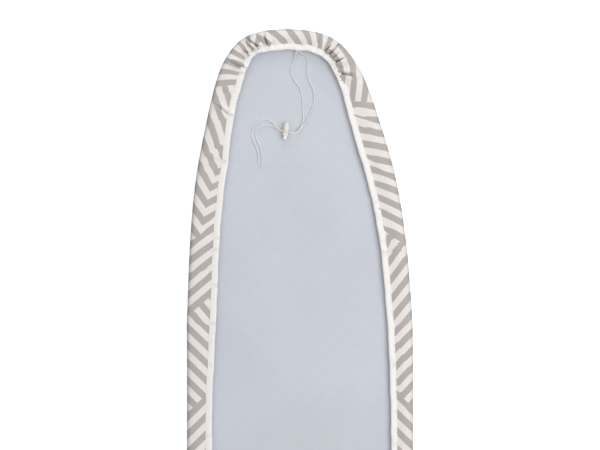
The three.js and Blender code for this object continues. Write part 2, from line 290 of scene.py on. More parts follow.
@dataclass
class Rim:
    """The cover's outline, seen from above, and how far its skirt reaches inward.

    Places along it are measured from the nose tip, positive down the left side.
    """

    half_width: float = CAD_BOX[1][0]
    tip_y: float = CAD_BOX[1][1]
    corner: float = 65 * MM
    lean: float = 22 * MM
    lean_length: float = 600 * MM
    nose_length: float = 510 * MM
    reach_nose: float = 36 * MM
    reach_tail: float = 42 * MM
    # Stops along the rim from the nose tip, each a place and a reach, in millimetres.
    stops_left: tuple = ((80, 36), (150, 43.7), (225, 43.7), (320, 50.5), (560, 50.5), (760, 43))
    stops_right: tuple = ((40, 36), (270, 50), (500, 44.5), (800, 37.5))
    profile: tuple = (
        (0, 0), (0.225, 0.008), (0.41, 0.035), (0.554, 0.094), (0.656, 0.173),
        (0.762, 0.308), (0.887, 0.512), (0.959, 0.735), (1, 1),
    )

    def __post_init__(self) -> None:
        """Works out a fine table of the outline."""
        nose = np.array([(-w * self.half_width, self.tip_y - d * self.nose_length)
                         for w, d in self.profile])
        left_nose = catmull_rom(nose, 60)
        turn = np.linspace(0, math.pi / 2, 40)
        centre = np.array([self.corner - self.half_width, self.corner - self.tip_y])
        left_corner = centre - self.corner * np.column_stack([np.cos(turn), np.sin(turn)])
        left = np.vstack([left_nose, left_corner])
        right = left[::-1] * [-1, 1]
        self.line = np.vstack([left, right[:-1], left[:1]])
        self.places = along_line(self.line)
        self.length = float(self.places[-1])
        self.side_end = self.length / 2 - (self.half_width - self.corner) \
            - math.pi / 2 * self.corner - 30 * MM

    @property
    def widest_reach(self) -> float:
        """The furthest inward that the hem lies on the left side."""
        return max(reach for _, reach in self.stops_left) * MM

    def stations(self, fine: float, coarse: float, span: float) -> Points:
        """Places once round the rim, closer together near the nose tip.

        Args:
            fine: their spacing near the tip, in metres.
            coarse: their spacing elsewhere.
            span: how far from the tip the fine spacing reaches.

        Returns:
            The places.
        """
        near = np.linspace(-span, span, int(2 * span / fine), endpoint=False)
        rest = self.length - 2 * span
        far = np.linspace(span, span + rest, int(rest / coarse), endpoint=False)
        return np.concatenate([near, far])

    def point(self, along: Points) -> Points:
        """The outline's points at places along it, one row each.

        Args:
            along: places along the rim.

        Returns:
            The points.
        """
        at = np.mod(along, self.length)
        x = np.interp(at, self.places, self.line[:, 0])
        y = np.interp(at, self.places, self.line[:, 1])
        lean = np.clip(1 - (self.tip_y - y) / self.lean_length, 0, None)
        return np.column_stack([x - self.lean * lean**2, y])

    def straightened(self, place: Points) -> Points:
        """The same places before the nose leans, as the print lies on the cloth.

        Args:
            place: points of the leaning outline, one row each.

        Returns:
            The moved points.
        """
        behind = self.tip_y - np.minimum(place[:, 1], self.tip_y)
        lean = self.lean * np.clip(1 - behind / self.lean_length, 0, None) ** 2
        return np.column_stack([place[:, 0] + lean, place[:, 1]])

    def inward(self, along: Points) -> Points:
        """The unit vectors that point inward, square to the outline.

        Args:
            along: places along the rim.

        Returns:
            The vectors, one row each.
        """
        span = 3 * MM
        way = self.point(along + span) - self.point(along - span)
        way /= np.linalg.norm(way, axis=1)[:, None]
        return np.column_stack([-way[:, 1], way[:, 0]])

    def reach(self, along: Points) -> Points:
        """How far inward the skirt's hem lies.

        Args:
            along: places along the rim.

        Returns:
            The distances from the outline, in metres.
        """
        at = np.mod(along, self.length)
        signed = np.where(at > self.length / 2, at - self.length, at)
        way = np.abs(signed)
        sides = []
        for stops in (self.stops_left, self.stops_right):
            start, flank = 0.0, np.full(way.shape, self.reach_nose)
            for place, reach in stops:
                flank = flank + (reach * MM - flank) * ease(way, start * MM, place * MM)
                start = place
            sides.append(flank)
        flank = np.where(signed > 0, *sides)
        tail_start = self.length / 2 - self.half_width + self.corner
        return flank + (self.reach_tail - flank) * ease(way, self.side_end, tail_start)


@dataclass(frozen=True)
class Fold:
    """One crease of the skirt, from near the rim to the hem.

    Attributes:
        start: its end near the rim, in millimetres.
        end: its end at the hem, in millimetres.
        depth: how deep it is, in millimetres.
        width: how wide it is, in millimetres.
        over: 1 if the cloth on its left laps over it, seen from start to end, -1 if the right.
        taken: how much cloth it hides, in millimetres.
        fades: between which shares of its length it fades out.
    """

    start: tuple[float, float]
    end: tuple[float, float]
    depth: float
    width: float
    over: int = 1
    taken: float = 6.0
    fades: tuple[float, float] = (1.25, 1.6)

    @property
    def sharpness(self) -> float:
        """How steep its walls are: a slit's are steeper than a soft crease's."""
        return 1.9 if self.depth > 5 else 1.2


CREASES = (
    Fold((-128, 571), (-90, 555), 4.6, 2.0, 1, 12),
    Fold((-149, 497), (-113, 470), 4.4, 1.6, 1, 11),
    Fold((-164, 250), (-142, 243.5), 1.7, 1.1, -1, 1),
    Fold((118, 534), (68, 549), 2.4, 2.4, -1, 9),
    Fold((-104, 607), (-78, 583), 1.8, 3.0, 1, 5),
    Fold((-80, 619), (-62, 592), 2.0, 2.6, -1, 5),
    Fold((-55, 622), (-44, 592), 1.6, 2.4, -1, 4),
    Fold((36, 622), (28, 592), 1.6, 2.4, 1, 4),
    Fold((62, 610), (45, 585), 2.2, 2.6, 1, 5),
    Fold((88, 592), (60, 571), 2.4, 2.6, -1, 6),
    Fold((104, 568), (66, 559), 1.6, 2.4, -1, 4),
    Fold((-172, 400), (-128, 394), 1.0, 3.6, 1, 1),
    Fold((178, 242), (144, 238.5), 2.2, 1.4, 1, 4),
    Fold((162, 307), (134, 311.5), 1.3, 1.3, 1, 1),
)
SLITS = (
    Fold((-96, 611), (-72, 594), 8.0, 1.7, 1, 3, (0.95, 1.2)),
    Fold((-64, 616), (-57, 600), 7.5, 1.9, 1, 3, (0.95, 1.2)),
    Fold((-95, 600), (-81, 590), 6.0, 1.5, 1, 2, (0.95, 1.2)),
    Fold((-101, 588), (-88, 582), 6.0, 1.4, -1, 2, (0.95, 1.2)),
    Fold((75, 605), (62, 594), 7.5, 1.7, 1, 3, (0.9, 1.25)),
    Fold((55, 598), (44, 587), 7.0, 1.6, 1, 2, (0.95, 1.2)),
    Fold((64, 594), (51, 581.5), 8.0, 2.2, 1, 3, (0.95, 1.2)),
    Fold((70, 586), (57, 575.5), 6.5, 1.6, -1, 2, (0.95, 1.2)),
    Fold((80, 577), (62, 568), 8.0, 2.2, 1, 3, (0.95, 1.2)),
    Fold((93, 545), (73, 549), 8.0, 1.9, -1, 3, (0.95, 1.2)),
)


@dataclass
class Gathers:
    """How the drawn-up skirt rises and falls, and where its cloth goes."""

    rim: Rim
    seed: int = 7
    least: float = 0.10  # the fullness of the flanks
    soft_limit: float = 3.2 * MM  # ridges above this are pressed down

    def __post_init__(self) -> None:
        """Draws the phases of the small gathers."""
        draw = np.random.default_rng(self.seed)
        self.phases = draw.uniform(0, 2 * math.pi, 12)

    def fullness(self, along: Points) -> Points:
        """How strongly the skirt is gathered: 1 at the nose's shoulders, little on the flanks.

        Args:
            along: places along the rim.

        Returns:
            A share for each place.
        """
        at = np.mod(along, self.rim.length)
        way = np.minimum(at, self.rim.length - at)
        nose = ease(way, 0, 45 * MM) * (1 - ease(way, 120 * MM, 250 * MM))
        corner = self.rim.side_end + 80 * MM
        after_corner = 1 - ease(way, corner + 60 * MM, corner + 150 * MM)
        tail = ease(way, corner - 90 * MM, corner) * after_corner
        tip = 1 - ease(way, 0, 60 * MM)
        return self.least + 0.34 * tip + 0.9 * nose + 0.9 * tail

    def ripple(self, along: Points) -> Points:
        """The small gathers: rounded ridges with sharp valleys, in metres before fullness.

        Args:
            along: places along the rim.

        Returns:
            The heights, in metres.
        """
        a = self.phases
        turn = 2 * math.pi * along / MM
        bend = 1.4 * np.sin(turn / 83 + a[0]) + 0.9 * np.sin(turn / 47 + a[1])
        near = np.abs(np.sin(turn / 2 / 11.5 + bend + a[2])) ** 0.7 - 0.6
        far = np.abs(np.sin(turn / 2 / 27 + 0.7 * bend + a[3])) - 0.6
        size = 0.75 + 0.35 * np.sin(turn / 61 + a[4])
        return (1.1 * near + far) * size * MM

    def swell(self, along: Points, inward: Points) -> Points:
        """Slow, shallow waves of the whole skirt.

        Args:
            along: places along the rim.
            inward: distances from the rim, in metres.

        Returns:
            The heights, in metres.
        """
        a = self.phases
        turn = 2 * math.pi * along / MM
        wide = np.sin(turn / 190 + a[5]) + 0.7 * np.sin(turn / 117 + a[6] + 18 * inward)
        return 0.55 * wide * MM

    def pressed(self, lift: Points) -> Points:
        """The same lift with its highest ridges pressed down, as they lie on each other."""
        return lift - np.clip(lift - self.soft_limit, 0, None) * 0.6

    def crease(self, place: Points, folds: tuple = CREASES + SLITS) -> Points:
        """The height that single folds add at places seen from above.

        Args:
            place: the places, one row each.
            folds: which folds.

        Returns:
            The heights, in metres.
        """
        total = np.zeros(len(place))
        for fold in folds:
            across, share = self._across(fold, place)
            width = fold.width * MM
            valley = -np.exp(-np.abs(across / width) ** fold.sharpness)
            lap = np.exp(-(((across - fold.over * 2.0 * width) / (1.7 * width)) ** 2))
            rest = np.exp(-(((across + fold.over * 2.8 * width) / (2.4 * width)) ** 2))
            window = ease(share, -0.12, 0.45) * (1 - ease(share, *fold.fades))
            total += fold.depth * MM * window * (valley + 0.75 * lap + 0.3 * rest)
        return total

    def gap(self, place: Points) -> Points:
        """How deep in a slit places lie, from 0 to 1: the share of painted shade the cloth gets
        there.
        """
        return np.clip((-self.crease(place, SLITS) - 2 * MM) / (4 * MM), 0, 1)

    def taken(self, place: Points) -> Points:
        """How far the print is shifted along the rim by the cloth that folds hide.

        Args:
            place: the places, one row each.

        Returns:
            The shifts, in metres.
        """
        total = np.zeros(len(place))
        for fold in CREASES + SLITS:
            across, share = self._across(fold, place)
            width = fold.width * MM
            step = np.tanh(across / (0.6 * width))
            ramp = np.clip(across / (7 * width), -1, 1)
            window = ease(share, -0.1, 0.5)
            total += 0.5 * fold.taken * MM * window * (step - ramp) * (np.abs(ramp) < 1)
        return total

    @staticmethod
    def _across(fold: Fold, place: Points) -> tuple[Points, Points]:
        """The signed distance from a fold's line, positive to its left, and the share along it.

        Args:
            fold: the fold.
            place: the places, one row each.

        Returns:
            The distances in metres, and the shares.
        """
        start, end = np.array(fold.start) * MM, np.array(fold.end) * MM
        way = end - start
        long = np.linalg.norm(way)
        way /= long
        off = place - start
        return off @ np.array([-way[1], way[0]]), off @ way / long


@dataclass
class SkirtSection:
    """The cloth's section across the rim, outside surface, from the face up to the hem."""

    rim: Rim
    gathers: Gathers
    height: float = 16 * MM
    hem_height: float = 13.3 * MM
    hidden: float = 4.2 * MM  # the cloth ends this far short of the hem, inside the tape
    flat_start: float = 30 * MM  # inward from the rim, where the face's plain middle begins
    rolled: float = 22 * MM  # the cloth in the rolled rim
    crown: float = 1.1 * MM  # how far the flap bulges above a straight slope
    roll_strength: float = 0.55  # how strongly the gathers show where the roll meets the flap

    def row(self, along: Points, kind: str, share: float) -> tuple[Points, Points]:
        """One row of the cloth's points.

        Args:
            along: places along the rim.
            kind: "flat" for the face's border, "roll" for the rolled rim, "flap" for the skirt.
            share: how far across that part, from 0 to 1.

        Returns:
            The points, one row of three numbers each, and their places in the flat cloth.
        """
        radius = self.height / 2
        point, inward = self.rim.point(along), self.rim.inward(along)
        reach = self.rim.reach(along)
        if kind == "flat":
            depth = np.full(len(along), self.flat_start + (radius - self.flat_start) * share)
            height = np.zeros(len(along))
            outward = -depth
            lift_in, lift_up, strength = 0.0, 0.0, 0.0
        elif kind == "roll":
            angle = math.pi * share
            depth = np.full(len(along), radius - radius * math.sin(angle))
            height = np.full(len(along), radius - radius * math.cos(angle))
            outward = np.full(len(along), self.rolled * share - radius)
            lift_in, lift_up = -math.sin(angle), -math.cos(angle)
            strength = self.roll_strength * float(ease(share, 0.3, 1))
        else:
            end = reach - self.hidden
            depth = radius + (end - radius) * share
            knee = 0.5 * (1 + math.cos(math.pi * min(1, share / 0.8)))
            bulge = self.crown * math.sin(math.pi * min(1, share / 0.78))
            slope = self.hem_height + (self.height - self.hem_height) * knee
            height = np.full(len(along), slope + bulge)
            outward = self.rolled - 2 * radius + depth
            lift_in, lift_up = 0.0, 1.0
            strength = self.roll_strength + (1 - self.roll_strength) * float(ease(share, 0, 0.6))
        place = point + inward * depth[:, None]
        lift = np.zeros(len(along))
        shift = np.zeros(len(along))
        if strength:
            fullness = self.gathers.fullness(along)
            lift = self.gathers.ripple(along) * fullness * strength
            lift += self.gathers.swell(along, depth) * strength
            lift += self.gathers.crease(place) * strength
            lift = self.gathers.pressed(lift)
            shift = self.gathers.taken(place) * strength
        sideways = lift * lift_in * 0.6
        place = place + inward * sideways[:, None]
        flat = self.rim.point(along + shift) - self.rim.inward(along + shift) * outward[:, None]
        return np.column_stack([place, height + lift * lift_up]), self.rim.straightened(flat)


# ---- Shader groups ------------------------------------------------------------------------


class Nodes:
    """A short way to write a node tree."""

    def __init__(self, tree: bpy.types.NodeTree) -> None:
        """Keeps the tree that nodes go into."""
        self.tree = tree

    def add(self, kind: str, **settings: object) -> bpy.types.Node:
        """Adds a node.

        Args:
            kind: the node's type without ShaderNode.
            settings: its properties.

        Returns:
            The node.
        """
        node = self.tree.nodes.new(f"ShaderNode{kind}")
        for name, value in settings.items():
            setattr(node, name, value)
        return node

    def link(self, source: object, target: bpy.types.NodeSocket) -> None:
        """Links an output to an input, or sets the input's value if source is a number.

        Args:
            source: an output socket or a number.
            target: the input socket.
        """
        if isinstance(source, bpy.types.NodeSocket):
            self.tree.links.new(source, target)
        else:
            target.default_value = source

    def math(self, operation: str, *values: object, clamp: bool = False) -> bpy.types.NodeSocket:
        """A Math node's result.

        Args:
            operation: the node's operation.
            values: its inputs, sockets or numbers.
            clamp: whether the result stays between 0 and 1.

        Returns:
            The node's output.
        """
        node = self.add("Math", operation=operation, use_clamp=clamp)
        for value, target in zip(values, node.inputs):
            self.link(value, target)
        return node.outputs[0]

    def mix(self, share: object, first: object, second: object) -> bpy.types.NodeSocket:
        """A mix of two colours.

        Args:
            share: how much of the second colour.
            first: the first colour.
            second: the second colour.

        Returns:
            The node's output.
        """
        node = self.add("Mix", data_type="RGBA", clamp_factor=True)
        self.link(share, node.inputs["Factor"])
        self.link(first, node.inputs[6])
        self.link(second, node.inputs[7])
        return node.outputs[2]

    def noise(self, place: object, scale: float, detail: float = 3, rough: float = 0.5,
              dimensions: str = "3D") -> bpy.types.NodeSocket:
        """A Noise Texture's value.

        Args:
            place: the texture place.
            scale: its scale.
            detail: its detail.
            rough: its roughness.
            dimensions: how many dimensions it has.

        Returns:
            The node's value.
        """
        node = self.add("TexNoise", noise_dimensions=dimensions)
        self.link(place, node.inputs["Vector"])
        node.inputs["Scale"].default_value = scale
        node.inputs["Detail"].default_value = detail
        node.inputs["Roughness"].default_value = rough
        return node.outputs[0]

    def ramp(self, value: object, low: float, high: float, to_low: float = 0.0,
             to_high: float = 1.0) -> bpy.types.NodeSocket:
        """Maps a value smoothly from one range to another.

        Args:
            value: what is mapped.
            low: the range it comes from, lower end.
            high: the same, upper end.
            to_low: what low becomes.
            to_high: what high becomes.

        Returns:
            The node's output.
        """
        node = self.add("MapRange", interpolation_type="SMOOTHSTEP")
        self.link(value, node.inputs["Value"])
        for name, number in zip(("From Min", "From Max", "To Min", "To Max"),
                                (low, high, to_low, to_high)):
            node.inputs[name].default_value = number
        return node.outputs["Result"]

    def bump(self, height: object, strength: float, distance: float,
             normal: object = None) -> bpy.types.NodeSocket:
        """A Bump node's normal.

        Args:
            height: the height.
            strength: how strong it is.
            distance: how high 1 stands, in metres.
            normal: the normal it adds to.

        Returns:
            The node's normal.
        """
        node = self.add("Bump")
        self.link(height, node.inputs["Height"])
        node.inputs["Strength"].default_value = strength
        node.inputs["Distance"].default_value = distance
        if normal is not None:
            self.link(normal, node.inputs["Normal"])
        return node.outputs["Normal"]


class ShaderGroups:
    """The effects that more than one material uses, each built once."""

    def __init__(self) -> None:
        """Starts with no group built."""
        self._built: dict[str, bpy.types.NodeTree] = {}

    def _start(self, name: str, inputs: list, outputs: list) -> tuple:
        """A new group's tree, its writer, and its input and output nodes.

        Args:
            name: the group's name.
            inputs: each input's label, type and value.
            outputs: each output's label and type.

        Returns:
            The writer and the two nodes.
        """
        tree = bpy.data.node_groups.new(name, "ShaderNodeTree")
        for label, kind, value in inputs:
            socket = tree.interface.new_socket(label, in_out="INPUT", socket_type=kind)
            if value is not None:
                socket.default_value = value
        for label, kind in outputs:
            tree.interface.new_socket(label, in_out="OUTPUT", socket_type=kind)
        nodes = Nodes(tree)
        source = tree.nodes.new("NodeGroupInput")
        target = tree.nodes.new("NodeGroupOutput")
        self._built[name] = tree
        return nodes, source, target

    def use(self, nodes: Nodes, name: str, **values: object) -> bpy.types.Node:
        """Places a group in a material.

        Args:
            nodes: the material's node writer.
            name: which group: "print", "weave" or "mottle".
            values: its inputs by name, with _ for a space.

        Returns:
            The group node.
        """
        makers = {"print": self._make_print, "weave": self._make_weave, "mottle": self._make_mottle}
        if name not in self._built:
            makers[name]()
        node = nodes.add("Group")
        node.node_tree = self._built[name]
        for label, value in values.items():
            nodes.link(value, node.inputs[label.replace("_", " ").capitalize()])
        return node

    def _make_print(self) -> None:
        """Mitred stripes: columns of slanting stripes, meeting in points and butting in steps."""
        design = StripeDesign()
        nodes, source, target = self._start(
            "print",
            [("Place", "NodeSocketVector", None), ("Softness", "NodeSocketFloat", 0.04)],
            [("Stripe", "NodeSocketFloat")],
        )
        split = nodes.add("SeparateXYZ")
        nodes.link(source.outputs["Place"], split.inputs[0])
        x = nodes.math("DIVIDE", split.outputs["X"], MM)
        y = nodes.math("DIVIDE", split.outputs["Y"], MM)
        offset = nodes.math("SUBTRACT", x, design.mirror_x)
        from_axis = nodes.math("ABSOLUTE", offset)
        on_right = nodes.math("GREATER_THAN", offset, 0.0)
        on_left = nodes.math("SUBTRACT", 1.0, on_right)
        narrowing = nodes.ramp(y, *design.narrow_below, design.narrowing, 0)
        narrow = nodes.math("MULTIPLY", on_left, narrowing)
        width = nodes.math("SUBTRACT", design.column, narrow)
        outer = nodes.math("GREATER_THAN", from_axis, width)
        inner = nodes.math("SUBTRACT", 1.0, outer)
        inside = nodes.math("SUBTRACT", from_axis, nodes.math("MULTIPLY", outer, design.column))
        rising = nodes.math("SUBTRACT", y, inside)
        falling = nodes.math("ADD", y, inside)
        turned, centre = 0.0, 0.0
        for side, ring, column in (
            (on_left, outer, design.left_outer), (on_left, inner, design.left_inner),
            (on_right, inner, design.right_inner), (on_right, outer, design.right_outer),
        ):
            here = nodes.math("MULTIPLY", side, ring)
            count = float(column.top_falls) + len(column.edges)
            for edge in column.edges:
                count = nodes.math("SUBTRACT", count, nodes.math("GREATER_THAN", rising, edge))
            falls = nodes.math("MODULO", count, 2.0)
            step = nodes.math("MULTIPLY", falls, column.falling - column.rising)
            white = nodes.math("ADD", step, column.rising)
            turned = nodes.math("ADD", nodes.math("MULTIPLY", here, falls), turned)
            centre = nodes.math("ADD", nodes.math("MULTIPLY", here, white), centre)
        difference = nodes.math("SUBTRACT", falling, rising)
        across = nodes.math("ADD", rising, nodes.math("MULTIPLY", difference, turned))
        turns = nodes.math("DIVIDE", nodes.math("SUBTRACT", across, centre), design.period)
        from_grey = nodes.math("ABSOLUTE", nodes.math("SUBTRACT", nodes.math("FRACT", turns), 0.5))
        within = nodes.math("SUBTRACT", design.grey_share / 2, from_grey)
        soft = nodes.math("DIVIDE", within, source.outputs["Softness"])
        nodes.link(nodes.math("ADD", soft, 0.5, clamp=True), target.inputs["Stripe"])

    def _make_weave(self) -> None:
        """Plain weave: crossing threads, with a height and a slight tone for each thread."""
        nodes, source, target = self._start(
            "weave",
            [("Place", "NodeSocketVector", None), ("Pitch", "NodeSocketFloat", 0.45)],
            [("Height", "NodeSocketFloat"), ("Tone", "NodeSocketFloat")],
        )
        split = nodes.add("SeparateXYZ")
        nodes.link(source.outputs["Place"], split.inputs[0])
        pitch = nodes.math("MULTIPLY", source.outputs["Pitch"], MM)
        u = nodes.math("DIVIDE", split.outputs["X"], pitch)
        v = nodes.math("DIVIDE", split.outputs["Y"], pitch)
        warp = nodes.math("SINE", nodes.math("MULTIPLY", u, math.pi))
        weft = nodes.math("SINE", nodes.math("MULTIPLY", v, math.pi))
        over = nodes.math("MULTIPLY", warp, weft)
        ridge = nodes.math("ADD", nodes.math("ABSOLUTE", warp), nodes.math("ABSOLUTE", weft))
        height = nodes.math("ADD", nodes.math("MULTIPLY", over, 0.35), ridge)
        nodes.link(height, target.inputs["Height"])
        threads = nodes.add("CombineXYZ")
        nodes.link(nodes.math("FLOOR", nodes.math("MULTIPLY", u, 0.5)), threads.inputs[0])
        slub = nodes.noise(threads.outputs[0], 0.7, 2)
        across = nodes.add("CombineXYZ")
        nodes.link(nodes.math("FLOOR", nodes.math("MULTIPLY", v, 0.5)), across.inputs[1])
        slub_across = nodes.noise(across.outputs[0], 0.7, 2)
        nodes.link(nodes.math("MULTIPLY", nodes.math("ADD", slub, slub_across), 0.5),
                   target.inputs["Tone"])

    def _make_mottle(self) -> None:
        """Soft cloudy variation at two scales, from 0 to 1."""
        nodes, source, target = self._start(
            "mottle",
            [("Place", "NodeSocketVector", None), ("Scale", "NodeSocketFloat", 10.0)],
            [("Cloud", "NodeSocketFloat"), ("Grain", "NodeSocketFloat")],
        )
        cloud = nodes.add("TexNoise")
        nodes.link(source.outputs["Place"], cloud.inputs["Vector"])
        nodes.link(source.outputs["Scale"], cloud.inputs["Scale"])
        cloud.inputs["Detail"].default_value = 4
        grain = nodes.add("TexNoise")
        nodes.link(source.outputs["Place"], grain.inputs["Vector"])
        fine = nodes.math("MULTIPLY", source.outputs["Scale"], 37.0)
        nodes.link(fine, grain.inputs["Scale"])
        grain.inputs["Detail"].default_value = 2
        nodes.link(cloud.outputs[0], target.inputs["Cloud"])
        nodes.link(grain.outputs[0], target.inputs["Grain"])


@dataclass(frozen=True)
class StripeColumn:
    """One column of the print.

    Attributes:
        edges: where the stripes change direction, as heights at the column's inner side.
        top_falls: whether the stripes above the top edge fall away from the middle line.
        rising: the height of a white stripe's middle, where stripes rise from the middle line.
        falling: the same where they fall.
    """

    edges: tuple[float, ...]
    top_falls: bool
    rising: float
    falling: float


@dataclass(frozen=True)
class StripeDesign:
    """The print's repeat, in millimetres of flat cloth.

    Four columns lie on both sides of mirror_x. An edge slants as the rising stripes do, and the
    grey stripe along it belongs to them.
    """

    mirror_x: float = -55.0
    column: float = 153.0
    period: float = 30.6
    grey_share: float = 0.5
    narrowing: float = 8.0  # of the left inner column, below these heights
    narrow_below: tuple[float, float] = (190.0, 240.0)
    left_outer: StripeColumn = StripeColumn(
        edges=(-491.25, -322.95, -32.25, 136.05, 457.35), top_falls=True, rising=6, falling=-3.3)
    left_inner: StripeColumn = StripeColumn(
        edges=(-475.95, -185.25, -16.95, 120.75, 442.05), top_falls=False, rising=6, falling=6.2)
    right_inner: StripeColumn = StripeColumn(
        edges=(-427.55, -136.85, 153.85, 444.55), top_falls=False, rising=8.5, falling=6.2)
    right_outer: StripeColumn = StripeColumn(
        edges=(-422.05, -131.35, 159.35, 450.05), top_falls=True, rising=-1.3, falling=6.3)


# ---- Finishes -----------------------------------------------------------------------------


def new_material(name: str, roughness: float) -> tuple[bpy.types.Material, Nodes, bpy.types.Node]:
    """A material with a Principled BSDF.

    Args:
        name: the material's name.
        roughness: the shader's own roughness.

    Returns:
        The material, its node writer and its shader.
    """
    material = bpy.data.materials.new(name)
    material.use_nodes = True
    shader = material.node_tree.nodes["Principled BSDF"]
    shader.inputs["Roughness"].default_value = roughness
    return material, Nodes(material.node_tree), shader


def place_in_cloth(nodes: Nodes, name: str = "flat_place") -> bpy.types.NodeSocket:
    """The place in the flat cloth, as stored on the mesh."""
    return nodes.add("UVMap", uv_map=name).outputs["UV"]


@dataclass(frozen=True)
class PrintedCotton:
    """White cotton printed with warm grey stripes, darkened deep in the slits by painted shade."""

    white: tuple = srgb(234, 228, 225)
    grey: tuple = srgb(175, 169, 165)
    shade: tuple = srgb(78, 73, 70)  # painted shade, deep in a slit
    painted_shade_strength: float = 0.75
    softness: float = 0.035  # of a stripe's edge, as a share of the repeat

    def make(self, groups: ShaderGroups) -> bpy.types.Material:
        """Builds the material.

        Args:
            groups: the shared shader groups.

        Returns:
            The material.
        """
        material, nodes, shader = new_material("printed_cotton", 0.88)
        shader.inputs["Sheen Weight"].default_value = 0.12
        shader.inputs["Sheen Roughness"].default_value = 0.5
        shader.inputs["Specular IOR Level"].default_value = 0.2
        flat = place_in_cloth(nodes)
        wander = nodes.add("VectorMath", operation="SCALE")
        jitter = nodes.add("TexNoise")
        nodes.link(flat, jitter.inputs["Vector"])
        jitter.inputs["Scale"].default_value = 900
        centred = nodes.add("VectorMath", operation="SUBTRACT")
        nodes.link(jitter.outputs["Color"], centred.inputs[0])
        centred.inputs[1].default_value = (0.5, 0.5, 0.5)
        nodes.link(centred.outputs[0], wander.inputs[0])
        wander.inputs["Scale"].default_value = 0.5 * MM
        moved = nodes.add("VectorMath", operation="ADD")
        nodes.link(flat, moved.inputs[0])
        nodes.link(wander.outputs[0], moved.inputs[1])
        printed = groups.use(nodes, "print", place=moved.outputs[0], softness=self.softness)
        weave = groups.use(nodes, "weave", place=flat, pitch=0.42)
        mottle = groups.use(nodes, "mottle", place=flat, scale=22.0)
        cover = nodes.ramp(mottle.outputs["Grain"], 0.2, 0.75, 0.9, 1.0)
        ink = nodes.math("MULTIPLY", printed.outputs["Stripe"], cover)
        colour = nodes.mix(ink, self.white, self.grey)
        threads = nodes.ramp(weave.outputs["Tone"], 0.3, 0.7, 0.0, 0.10)
        colour = nodes.mix(threads, colour, srgb(205, 198, 194))
        cloud = nodes.ramp(mottle.outputs["Cloud"], 0.35, 0.7, 0.0, 0.08)
        colour = nodes.mix(cloud, colour, srgb(214, 205, 200))
        # Painted shade: deep in the slits the colour is darkened towards the slit shade colour.
        depth = nodes.add("SeparateXYZ")
        nodes.link(place_in_cloth(nodes, "slit_shade"), depth.inputs[0])
        shade = nodes.math("MULTIPLY", depth.outputs["X"], self.painted_shade_strength)
        colour = nodes.mix(shade, colour, self.shade)
        nodes.link(colour, shader.inputs["Base Color"])
        rough = nodes.ramp(printed.outputs["Stripe"], 0, 1, 0.90, 0.82)
        nodes.link(rough, shader.inputs["Roughness"])
        normal = nodes.bump(weave.outputs["Height"], 0.35, 0.06 * MM)
        puckers = nodes.noise(flat, 160, 3)
        nodes.link(nodes.bump(puckers, 0.3, 0.5 * MM, normal), shader.inputs["Normal"])
        return material


@dataclass(frozen=True)
class PaleFoam:
    """Thin pale-blue foam with a needled backing, through which the print shows faintly."""

    colour: tuple = srgb(205, 208, 216)
    cool: tuple = srgb(199, 204, 211)
    deep: tuple = srgb(176, 184, 198)

    def make(self, groups: ShaderGroups) -> bpy.types.Material:
        """Builds the material.

        Args:
            groups: the shared shader groups.

        Returns:
            The material.
        """
        material, nodes, shader = new_material("pale_foam", 0.93)
        shader.inputs["Sheen Weight"].default_value = 0.15
        shader.inputs["Specular IOR Level"].default_value = 0.15
        place = nodes.add("TexCoord").outputs["Object"]
        printed = groups.use(nodes, "print", place=place_in_cloth(nodes), softness=0.3)
        mottle = groups.use(nodes, "mottle", place=place, scale=5.0)
        cloud = nodes.ramp(mottle.outputs["Cloud"], 0.3, 0.7)
        colour = nodes.mix(cloud, self.colour, self.cool)
        ghost = nodes.math("MULTIPLY", printed.outputs["Stripe"], 0.05)
        colour = nodes.mix(ghost, colour, self.deep)
        pores = nodes.add("TexVoronoi", feature="F1")
        nodes.link(place, pores.inputs["Vector"])
        pores.inputs["Scale"].default_value = 620
        speck = nodes.ramp(pores.outputs["Distance"], 0.05, 0.45, 0.22, 0.0)
        colour = nodes.mix(speck, colour, self.deep)
        nodes.link(colour, shader.inputs["Base Color"])
        fibres = nodes.noise(place, 1400, 2, 0.6)
        height = nodes.math("ADD", nodes.math("MULTIPLY", pores.outputs["Distance"], 0.8), fibres)
        rough = nodes.ramp(fibres, 0.3, 0.7, 0.88, 0.97)
        nodes.link(rough, shader.inputs["Roughness"])
        nodes.link(nodes.bump(height, 0.5, 0.25 * MM), shader.inputs["Normal"])
        return material


@dataclass(frozen=True)
class WhiteTape:
    """White folded tape with a fine rib, and smudges where the print shows through."""

    white: tuple = srgb(243, 240, 237)
    smudge: tuple = srgb(205, 200, 197)

    def make(self, groups: ShaderGroups) -> bpy.types.Material:
        """Builds the material.

        Args:
            groups: the shared shader groups.

        Returns:
            The material.
        """
        material, nodes, shader = new_material("white_tape", 0.85)
        shader.inputs["Sheen Weight"].default_value = 0.12
        shader.inputs["Specular IOR Level"].default_value = 0.2
        flat = place_in_cloth(nodes)
        weave = groups.use(nodes, "weave", place=flat, pitch=0.5)
        mottle = groups.use(nodes, "mottle", place=flat, scale=60.0)
        patch = nodes.ramp(mottle.outputs["Cloud"], 0.55, 0.72, 0.0, 0.35)
        colour = nodes.mix(patch, self.white, self.smudge)
        threads = nodes.ramp(weave.outputs["Tone"], 0.3, 0.7, 0.0, 0.12)
        colour = nodes.mix(threads, colour, srgb(222, 217, 213))
        nodes.link(colour, shader.inputs["Base Color"])
        rough = nodes.ramp(mottle.outputs["Grain"], 0.3, 0.7, 0.8, 0.92)
        nodes.link(rough, shader.inputs["Roughness"])
        normal = nodes.bump(weave.outputs["Height"], 0.4, 0.07 * MM)
        puckers = nodes.noise(flat, 260, 2)
        nodes.link(nodes.bump(puckers, 0.35, 0.5 * MM, normal), shader.inputs["Normal"])
        return material


